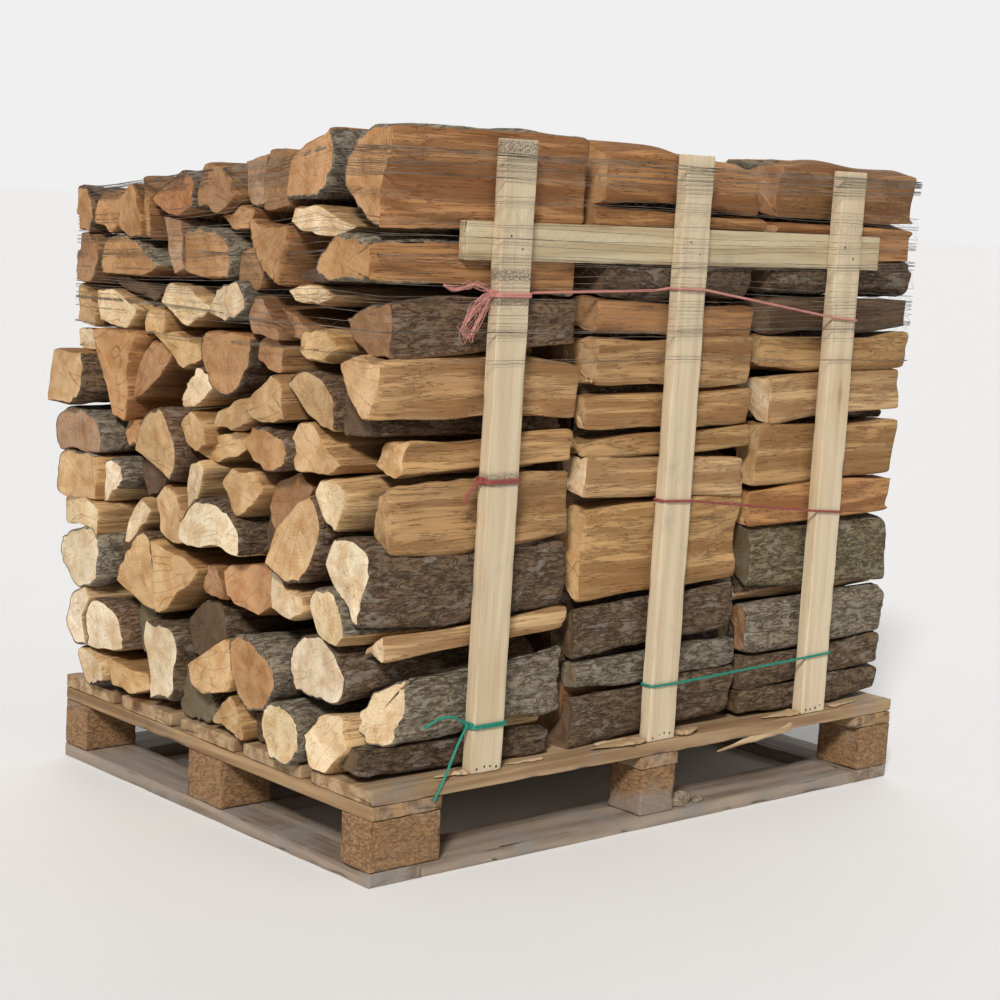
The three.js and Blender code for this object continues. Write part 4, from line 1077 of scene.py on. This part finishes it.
def turnsRound(side, x, z, rise):
    # Two turns round an upright, each higher than the last by rise.
    route = []
    for turn in range(2):
        at = z + turn * rise
        route += leftEdge(side, x, at) + acrossFace(side, x, at) + rightEdge(side, x, at)
        route += behind(side, x + halfWidth, at) + behind(side, x - halfWidth, at + rise)
    return route + leftEdge(side, x, z + 2 * rise)


def tautRoute(side, stops):
    # A taut line from behind the first upright, over the face of each, to behind the last. Each stop is
    # the upright's X, the height, and how much the line rises across it.
    startX, startZ, _ = stops[0]
    route = behind(side, startX, startZ) + behind(side, startX - halfWidth, startZ)
    route += leftEdge(side, startX, startZ)
    for x, z, rise in stops:
        route += acrossFace(side, x, z, rise)
    endX, endZ = stops[-1][0], stops[-1][1] + stops[-1][2]
    route += rightEdge(side, endX, endZ)
    return route + behind(side, endX + halfWidth, endZ) + behind(side, endX, endZ)


def evenPath(route, step, ease):
    # The route's straight stretches cut into even steps, with its corners eased by averaging neighbours.
    route = np.array(route, dtype=float)
    lengths = np.linalg.norm(np.diff(route, axis=0), axis=1)
    gone = np.concatenate([[0], np.cumsum(lengths)])
    s = np.linspace(0, gone[-1], max(6, int(gone[-1] / step)))
    path = np.stack([np.interp(s, gone, route[:, axis]) for axis in range(3)], axis=1)
    for _ in range(ease):
        path[1:-1] += 0.5 * ((path[:-2] + path[2:]) / 2 - path[1:-1])
    return path


def tubeAlong(shell, path, radius, sides, lobes=0, lobeDepth=0.0, turnLength=1.0):
    # A ring of points carried along the path, square to it. Lobes that turn as they go make it a twine, and
    # each point carries a painted shade that is dark in the grooves between them.
    along = np.gradient(path, axis=0)
    along /= np.linalg.norm(along, axis=1)[:, None]
    steady = np.array([0.31, 0.17, 0.935])
    side = np.cross(along, steady)
    side /= np.linalg.norm(side, axis=1)[:, None]
    up = np.cross(side, along)
    gone = np.concatenate([[0], np.cumsum(np.linalg.norm(np.diff(path, axis=0), axis=1))])
    angle = np.linspace(0, 2 * np.pi, sides, endpoint=False)
    turned = lobes * (angle[None, :] - 2 * np.pi * gone[:, None] / turnLength)
    reach = radius * (1 - lobeDepth + lobeDepth * np.cos(turned))
    ring = np.cos(angle)[None, :, None] * side[:, None, :] + np.sin(angle)[None, :, None] * up[:, None, :]
    rows = path[:, None, :] + reach[:, :, None] * ring
    # painted shade: light on the lobes' crests, dark in the grooves between them
    shade = (0.5 + 0.5 * np.cos(turned))[:, :, None] * np.ones(3)
    ends = np.repeat(path[[0, -1], None], sides, axis=1)
    rows = np.concatenate([ends[:1], rows, ends[1:]])
    shade = np.concatenate([shade[:1], shade, shade[-1:]])
    shell.add(rows * mm, cordFacts=shade)


def tieKnot(shell, at, size, radius):
    # A trefoil: x = sin t + 2 sin 2t, y = cos t - 2 cos 2t, z = -sin 3t, squeezed flat towards the wood.
    t = np.linspace(0, 2 * np.pi, 46)
    x = np.sin(t) + 2 * np.sin(2 * t)
    y = -0.7 * np.sin(3 * t)
    z = np.cos(t) - 2 * np.cos(2 * t)
    curl = np.stack([x, y, z], axis=1)
    tubeAlong(shell, np.array(at) + curl * size / 2, radius, 8, 3, 0.12, 9.0)


def layTwine(shell, route, ease=3):
    # A twine of full thickness along the eased route.
    path = evenPath(route, twine["step"], ease)
    laid = [twine[key] for key in ("radius", "sides", "lobes", "lobeDepth", "turnLength")]
    tubeAlong(shell, path, *laid)


def looseFibres(shell, route, count, spread, seed):
    # Thin fibres that have come away from the twine and wander beside it.
    rng = np.random.default_rng(seed)
    for _ in range(count):
        path = evenPath(route, twine["fibreStep"], 2)
        t = np.linspace(0, 1, len(path))
        for axis in range(3):
            swing = sum(rng.uniform(-1, 1) * np.sin(np.pi * wave * t) for wave in (1, 2, 3, 5))
            path[:, axis] += spread * (0.6 if axis == 1 else 1.0) * swing / 2
        path[:, 1] = np.clip(path[:, 1], *twine["fibreRoom"])
        tubeAlong(shell, path, twine["fibreRadius"], 5)


def twineFinish(name, light, dark):
    # Painted light on the lobes and painted shade in the grooves between them, and worn in patches.
    f = Finish(name)
    lobeShade = f.part(f.reading("cordFacts"), "X")
    wear = f.noise(f.place, 160, detail=3)
    fibre = f.noise(f.place, 900, detail=2)
    # the lobe shade paints light on the lobes and shade between them, mixed with wear
    colour = f.blend(lobeShade * 0.7 + wear * 0.3, dark, light)
    colour = f.blend(wear.band(0.6, 0.8) * 0.3, colour, (0.55, 0.5, 0.45, 1))
    return f.close(colour, 0.5 + fibre * 0.25, f.bump(fibre, 0.3 * mm, 0.6))


def makeTwines():
    # In front a green twine low down, a red one in the middle and a pink one high up, each knotted at the
    # first upright's -X edge; at the rear a plain taut line at each level.
    first, second, third = uprightXs
    edge = first - halfWidth - 5
    materials = {level: twineFinish(f"{level} twine", *tones) for level, tones in twineTones.items()}
    knot, radius = twine["knot"], twine["radius"] * 0.8

    shell = Shell()
    tails = [
        [(edge, -412, 220), (-446, -416, 238), (-470, -410, 236), (-490, -406, 224)],
        [(edge, -412, 218), (-432, -415, 196), (-452, -422, 168), (-468, -427.4, 146), (-484, -427.2, 118)],
    ]
    layTwine(shell, turnsRound(-1, first, 216, 3.2))
    tieKnot(shell, (edge, -413, 219), knot, radius)
    for tail in tails:
        layTwine(shell, tail, 12)
        looseFibres(shell, tail, 3, 3.0, 11)
        tieKnot(shell, tail[-1], knot * 0.7, radius * 0.8)
    shell.finish("green_twine_tie", materials["low"], "green_twine", ("twine_low_tie",))
    shell = Shell()
    layTwine(shell, tautRoute(-1, [(second, 238, 0), (third, 247, 2)]))
    shell.finish("green_twine_line", materials["low"], "green_twine", ("twine_low_line",))

    shell = Shell()
    layTwine(shell, turnsRound(-1, first, 588, 3.2))
    tail = [(edge, -412, 591), (-434, -411, 576), (-442, -407, 556)]
    layTwine(shell, tail, 8)
    looseFibres(shell, tail, 4, 4.0, 12)
    tieKnot(shell, (edge, -413, 591), knot, radius)
    shell.finish("red_twine_tie", materials["mid"], "red_twine", ("twine_mid_tie",))
    shell = Shell()
    layTwine(shell, tautRoute(-1, [(second, 541, -3), (third, 503, -5)]))
    shell.finish("red_twine_line", materials["mid"], "red_twine", ("twine_mid_line",))

    shell = Shell()
    bow = [(edge, -412, 867), (-448, -411, 844), (-466, -408, 816), (-450, -405, 798), (edge, -410, 864)]
    tail = [(edge, -411, 868), (-446, -410, 882), (-480, -405, 870), (-500, -403, 878)]
    line = behind(-1, first + 10, 867) + behind(-1, second - halfWidth - 30, 874)
    line += leftEdge(-1, second, 878) + acrossFace(-1, second, 879, -2)
    line += acrossFace(-1, third, 834, -5) + rightEdge(-1, third, 829)
    line += behind(-1, third + halfWidth, 829) + behind(-1, third, 828)
    layTwine(shell, turnsRound(-1, first, 864, 3.2))
    layTwine(shell, bow, 16)
    layTwine(shell, tail, 12)
    layTwine(shell, line)
    looseFibres(shell, bow, 16, 12.0, 13)
    looseFibres(shell, tail, 7, 7.0, 14)
    tieKnot(shell, (edge, -413, 867), knot * 1.3, radius)
    shell.finish("pink_twine_tie", materials["high"], "pink_twine", ("twine_high_tie",))

    for level, slot, height in (("low", "green", 240), ("mid", "red", 540), ("high", "pink", 850)):
        shell = Shell()
        layTwine(shell, tautRoute(1, [(x, height - 6 * k, 0) for k, x in enumerate(uprightXs)]))
        shell.finish(f"rear_twine_{level}", materials[level], slot + "_twine", (f"twine_rear_{level}",))
    print("twines made")


net = {
    "bottom": 750.0,  # mm, as are the other lengths
    "chains": 32,
    "topChains": 8,  # more of them, crowded under the upper edge
    "topShare": 0.88,  # from this share of the height up
    "chainRadius": 0.32,
    "threadRadius": 0.16,
    "hemStrands": 4,
    # the way round the load, (x, y)
    "corners": [
        (-418, -427),
        (418, -427),
        (598, -400),
        (626, 398),
        (418, 427),
        (-418, 427),
        (-628, 398),
        (-607, -400),
    ],
    # how high the load stands under the net's upper edge, from the -Y side to the +Y side
    "topAcross": ([-429, -262, -150, 60, 250, 429], [1070, 1070, 1042, 1016, 992, 972]),
}


def netPath(count):
    # Points evenly spaced round the load, and how far round each one is, 0 to 1.
    corners = np.array(net["corners"] + net["corners"][:1], dtype=float)
    gone = np.concatenate([[0], np.cumsum(np.linalg.norm(np.diff(corners, axis=0), axis=1))])
    s = np.linspace(0, gone[-1], count)
    flat = np.stack([np.interp(s, gone, corners[:, axis]) for axis in range(2)], axis=1)
    return flat, s / gone[-1]


def makeNet():
    # Each chain is a level line that wanders up and down; neighbours are drawn together in places, and
    # thin threads run zigzag from chain to chain.
    rng = np.random.default_rng(71)
    flat, around = netPath(200)
    top = np.interp(flat[:, 1], *net["topAcross"])
    spread = rng.uniform(0, 1, net["chains"])
    levels = np.sort(np.concatenate([spread, rng.uniform(net["topShare"], 1, net["topChains"])]))
    gather = 0.035 * lattice(rng, 11, 5, around, np.full_like(around, 0.4))
    shell = Shell()
    chains = []
    for level in levels:
        wander = 0.012 * lattice(rng, 9, 1, around, np.zeros_like(around))
        wander = wander + 0.004 * lattice(rng, 41, 1, around, np.zeros_like(around))
        share = np.clip(level + wander + gather * np.sin(level * 19), 0.0, 1.0)
        z = net["bottom"] + share * (top - net["bottom"])
        slack = 1 - 0.002 * np.abs(lattice(rng, 17, 1, around, np.zeros_like(around)))
        path = np.stack([flat[:, 0] * slack, flat[:, 1] * slack, z], axis=1)
        chains.append(path)
        tubeAlong(shell, path, net["chainRadius"], 4)
    for low, high in zip(chains[:-1:2], chains[1::2]):
        weave = (np.arange(len(low)) % 2)[:, None]
        tubeAlong(shell, low * (1 - weave) + high * weave, net["threadRadius"], 3)
    for _ in range(net["hemStrands"]):
        wander = 5 * lattice(rng, 25, 1, around, np.zeros_like(around))
        path = np.stack([flat[:, 0], flat[:, 1], top - 3 + wander], axis=1)
        tubeAlong(shell, path, net["chainRadius"] * 1.3, 4)
    f = Finish("net strand")
    tint = f.noise(f.place, 14, detail=2).band(0.4, 0.6)
    fleck = f.noise(f.place, 700, detail=2)
    colour = f.blend(tint, paint(128, 118, 104), paint(80, 72, 64))
    material = f.close(colour, 0.4 + fleck * 0.2, f.bump(fleck, 0.1 * mm, 0.4))
    shell.finish("wrapping_net", material, "net_strand", ("net",))
    print("net made:", len(levels), "chains")


nails = {
    "radius": 3.0,  # mm, as are the others
    "proud": 0.9,
    "deep": 1.5,  # how far the back of a head lies in the wood
    "footHeight": 153,  # of the row of four at an upright's foot
    "footApart": 13,
    "atBatten": [(-12, 9), (11, -10)],  # from the middle of the crossing, along X and up
}


def nailHead(shell, x, z, side):
    # Rings that shrink as they rise, r = radius cos a, out = proud sin a, closed at the back.
    a = np.radians([0, 30, 60, 90])
    angle = np.linspace(0, 2 * np.pi, 12, endpoint=False)
    reach = np.concatenate([[0.01, 1.0], np.cos(a)]) * nails["radius"]
    rise = np.concatenate([[-nails["deep"], -nails["deep"]], np.sin(a) * nails["proud"]])
    rows = np.zeros((len(reach), len(angle), 3))
    rows[:, :, 0] = x + reach[:, None] * np.cos(angle)
    rows[:, :, 2] = z + reach[:, None] * np.sin(angle)
    rows[:, :, 1] = side * (frameFront - nails["proud"]) + side * rise[:, None]
    shell.add(rows * mm)


def makeNails():
    # Four heads in a row at each upright's foot and two where it crosses its batten.
    shell = Shell()
    rng = np.random.default_rng(81)
    for side, batten in ((-1, "batten_front"), (1, "batten_rear")):
        low, high = nodeBox(batten)
        height = (low[2] + high[2]) / 2
        for x in uprightXs:
            for k in range(4):
                footX = x + (k - 1.5) * nails["footApart"] + rng.uniform(-2, 2)
                nailHead(shell, footX, nails["footHeight"] + rng.uniform(-3, 3), side)
            for dx, dz in nails["atBatten"]:
                nailHead(shell, x + dx, height + dz, side)
    f = Finish("nail head")
    rust = f.noise(f.place, 220, detail=3).band(0.4, 0.6)
    colour = f.blend(rust, paint(96, 92, 88), paint(82, 48, 30))
    material = f.close(colour, 0.45 + rust * 0.35, f.bump(rust, 0.2 * mm, 0.5), Metallic=0.7)
    shell.finish("nail_heads", material, "sawn_wood")


deckEdge = nodeBox("pallet_deck_1")[0][1]
splinters = [
    # from and to along X, from the deck's edge and up, then width and thickness, all in mm; the first is the
    # long shard that hangs from the torn edge
    ((340, 2, 130), (140, 3, 107), 19, 5),
    ((-30, 12, 149), (-150, 12, 148), 30, 9),
    ((46, 10, 149), (100, 14, 152), 26, 12),
    ((-412, 14, 148), (-474, 14, 147), 24, 7),
    ((350, 12, 148), (262, 16, 147), 26, 8),
    ((440, 14, 147), (520, 20, 146), 14, 4),
    ((-250, 16, 146), (-330, 18, 146), 14, 4),
    ((-130, 24, 149), (-60, 20, 152), 12, 5),
]


def makeSplinters():
    # A flat sliver: widest near its root and drawn out to a torn point, with rough fibres along it.
    shell = Shell()
    for number, (start, end, width, thick) in enumerate(splinters):
        rng = np.random.default_rng(90 + number)
        start = np.array(start) + (0, deckEdge, 0)
        end = np.array(end) + (0, deckEdge, 0)
        t = np.concatenate([[0, 0.001], np.linspace(0.02, 0.99, 26), [1]])
        u = np.linspace(0, 1, 18, endpoint=False)
        gridU, gridT = np.meshgrid(u, t)
        spread = np.clip(1.02 - gridT, 0.02, 1) ** 0.6 * np.clip(gridT * 9 + 0.3, 0, 1)
        rough = 1 + 0.4 * lattice(rng, 5, 6, gridU, gridT) + 0.2 * lattice(rng, 18, 12, gridU, gridT)
        across = np.cos(2 * np.pi * gridU) * width / 2 * spread * rough
        rise = np.sin(2 * np.pi * gridU) * thick / 2 * spread * rough
        path = start + (end - start) * gridT[:, :, None]
        onEdge = number == 0
        rows = path.copy()
        rows[:, :, 1] += rise if onEdge else across
        rows[:, :, 2] += across if onEdge else rise
        plain = np.zeros_like(gridT)
        facts = np.stack([plain, plain, np.full_like(gridT, 0.1 * number)], axis=2)
        shell.add(rows * mm, boardFacts=facts)
    material = boardFinish("fresh splinter", boardLooks["splinter"], 0)
    shell.finish("deck_splinters", material, "pallet_board")


lumps = [(74, -397, 22, 31), (114, -408, 22, 13), (50, -392, 22, 14)]  # x, y, z and radius, mm


def makeLumps():
    # Lumps of dry earth: a ball, flattened where it lies, with its surface pushed in and out.
    shell = Shell()
    for number, (x, y, z, radius) in enumerate(lumps):
        rng = np.random.default_rng(95 + number)
        v = np.linspace(0, 1, 15)
        u = np.linspace(0, 1, 26, endpoint=False)
        gridU, gridV = np.meshgrid(u, v)
        push = 1 + 0.28 * lattice(rng, 5, 3, gridU, gridV) + 0.12 * lattice(rng, 11, 7, gridU, gridV)
        tall = np.cos(np.pi * gridV)
        wide = np.sin(np.pi * gridV)
        alongX = x + radius * push * wide * np.cos(2 * np.pi * gridU)
        alongY = y + radius * 0.8 * push * wide * np.sin(2 * np.pi * gridU)
        up = z + radius * np.clip(0.62 * tall * push, -0.02, 1)
        shell.add(np.stack([alongX, alongY, up], axis=2) * mm)
    f = Finish("dry earth")
    crumb = f.noise(f.place, 120, detail=5, rough=0.7)
    colour = f.blend(crumb.band(0.35, 0.7), paint(150, 134, 112), paint(92, 78, 62))
    material = f.close(colour, 0.95, f.bump(crumb, 2 * mm, 0.8))
    shell.finish("earth_lumps", material, "pallet_board")


view = {
    "place": (-2.5573, -2.8091, 1.0350),  # metres
    "yaw": 47.68,  # degrees from +X towards +Y
    "pitch": -8.337,
    "roll": 3.372,
    "lens": 79.05,
}


def makeCamera():
    # The camera's axes: forward from yaw and pitch, then right and up turned about it by the roll.
    yaw, pitch, roll = (math.radians(view[key]) for key in ("yaw", "pitch", "roll"))
    forward = Vector((math.cos(pitch) * math.cos(yaw), math.cos(pitch) * math.sin(yaw), math.sin(pitch)))
    right = forward.cross(Vector((0, 0, 1))).normalized()
    up = right.cross(forward)
    leanRight = math.cos(roll) * right + math.sin(roll) * up
    leanUp = math.cos(roll) * up - math.sin(roll) * right
    camera = intoScene("camera", bpy.data.cameras.new("camera"))
    turn = Matrix((leanRight, leanUp, -forward)).transposed().to_4x4()
    camera.matrix_world = Matrix.Translation(view["place"]) @ turn
    camera.data.lens = view["lens"]
    camera.data.sensor_width = 36
    bpy.context.scene.camera = camera


studio = {
    # name: (way towards the light, strength, width of the light in degrees, colour)
    "key": ((-0.64, -0.50, 0.58), 3.1, 10, (1.0, 0.965, 0.92)),
    "fill": ((0.7, 0.6, 0.5), 0.7, 60, (0.95, 0.97, 1.0)),
    "sky": 0.34,
    "floor": 0.86,
    "backdrop": 0.87,
    "reach": 60.0,  # metres
}


def makeStudio():
    # Two wide lights, an even sky, a square pale floor and a pale ball round it all for a backdrop.
    for name in ("key", "fill"):
        towards, strength, width, colour = studio[name]
        light = bpy.data.lights.new(name, "SUN")
        light.energy = strength
        light.angle = math.radians(width)
        light.color = colour
        lamp = intoScene(name, light)
        lamp.rotation_euler = Vector(towards).to_track_quat("Z", "Y").to_euler()
    world = bpy.data.worlds.new("studio")
    world.use_nodes = True
    background = world.node_tree.nodes["Background"]
    background.inputs["Color"].default_value = (0.98, 0.99, 1.0, 1)
    background.inputs["Strength"].default_value = studio["sky"]
    bpy.context.scene.world = world
    reach = studio["reach"]
    corners = [(-reach, -reach, 0), (reach, -reach, 0), (reach, reach, 0), (-reach, reach, 0)]
    mesh = bpy.data.meshes.new("floor")
    mesh.from_pydata(corners, [], [(0, 1, 2, 3)])
    f = Finish("pale floor")
    mottle = f.noise(f.place, 3, detail=2)
    light, dark = ((studio["floor"] * part,) * 3 + (1,) for part in (1.0, 0.97))
    mesh.materials.append(f.close(f.blend(mottle, dark, light), 0.8))
    floor = intoScene("floor", mesh)

    # the backdrop gives no light and takes none away
    ball = bpy.data.meshes.new("backdrop")
    bm = bmesh.new()
    bmesh.ops.create_uvsphere(bm, u_segments=48, v_segments=24, radius=reach * 0.95)
    bm.to_mesh(ball)
    bm.free()
    f = Finish("backdrop")
    shine = {"Color": (1, 1, 1, 1), "Strength": studio["backdrop"]}
    ball.materials.append(f.surface(f.add("Emission", {}, shine)))
    backdrop = intoScene("backdrop", ball)
    for kind in ("diffuse", "glossy", "transmission", "volume_scatter", "shadow"):
        setattr(backdrop, f"visible_{kind}", False)
    bpy.context.scene.view_settings.view_transform = "Standard"


makeCamera()
makeStudio()
makePallet()
makeFrames()
makeLogs()
makeTwines()
makeNet()
makeNails()
makeSplinters()
makeLumps()
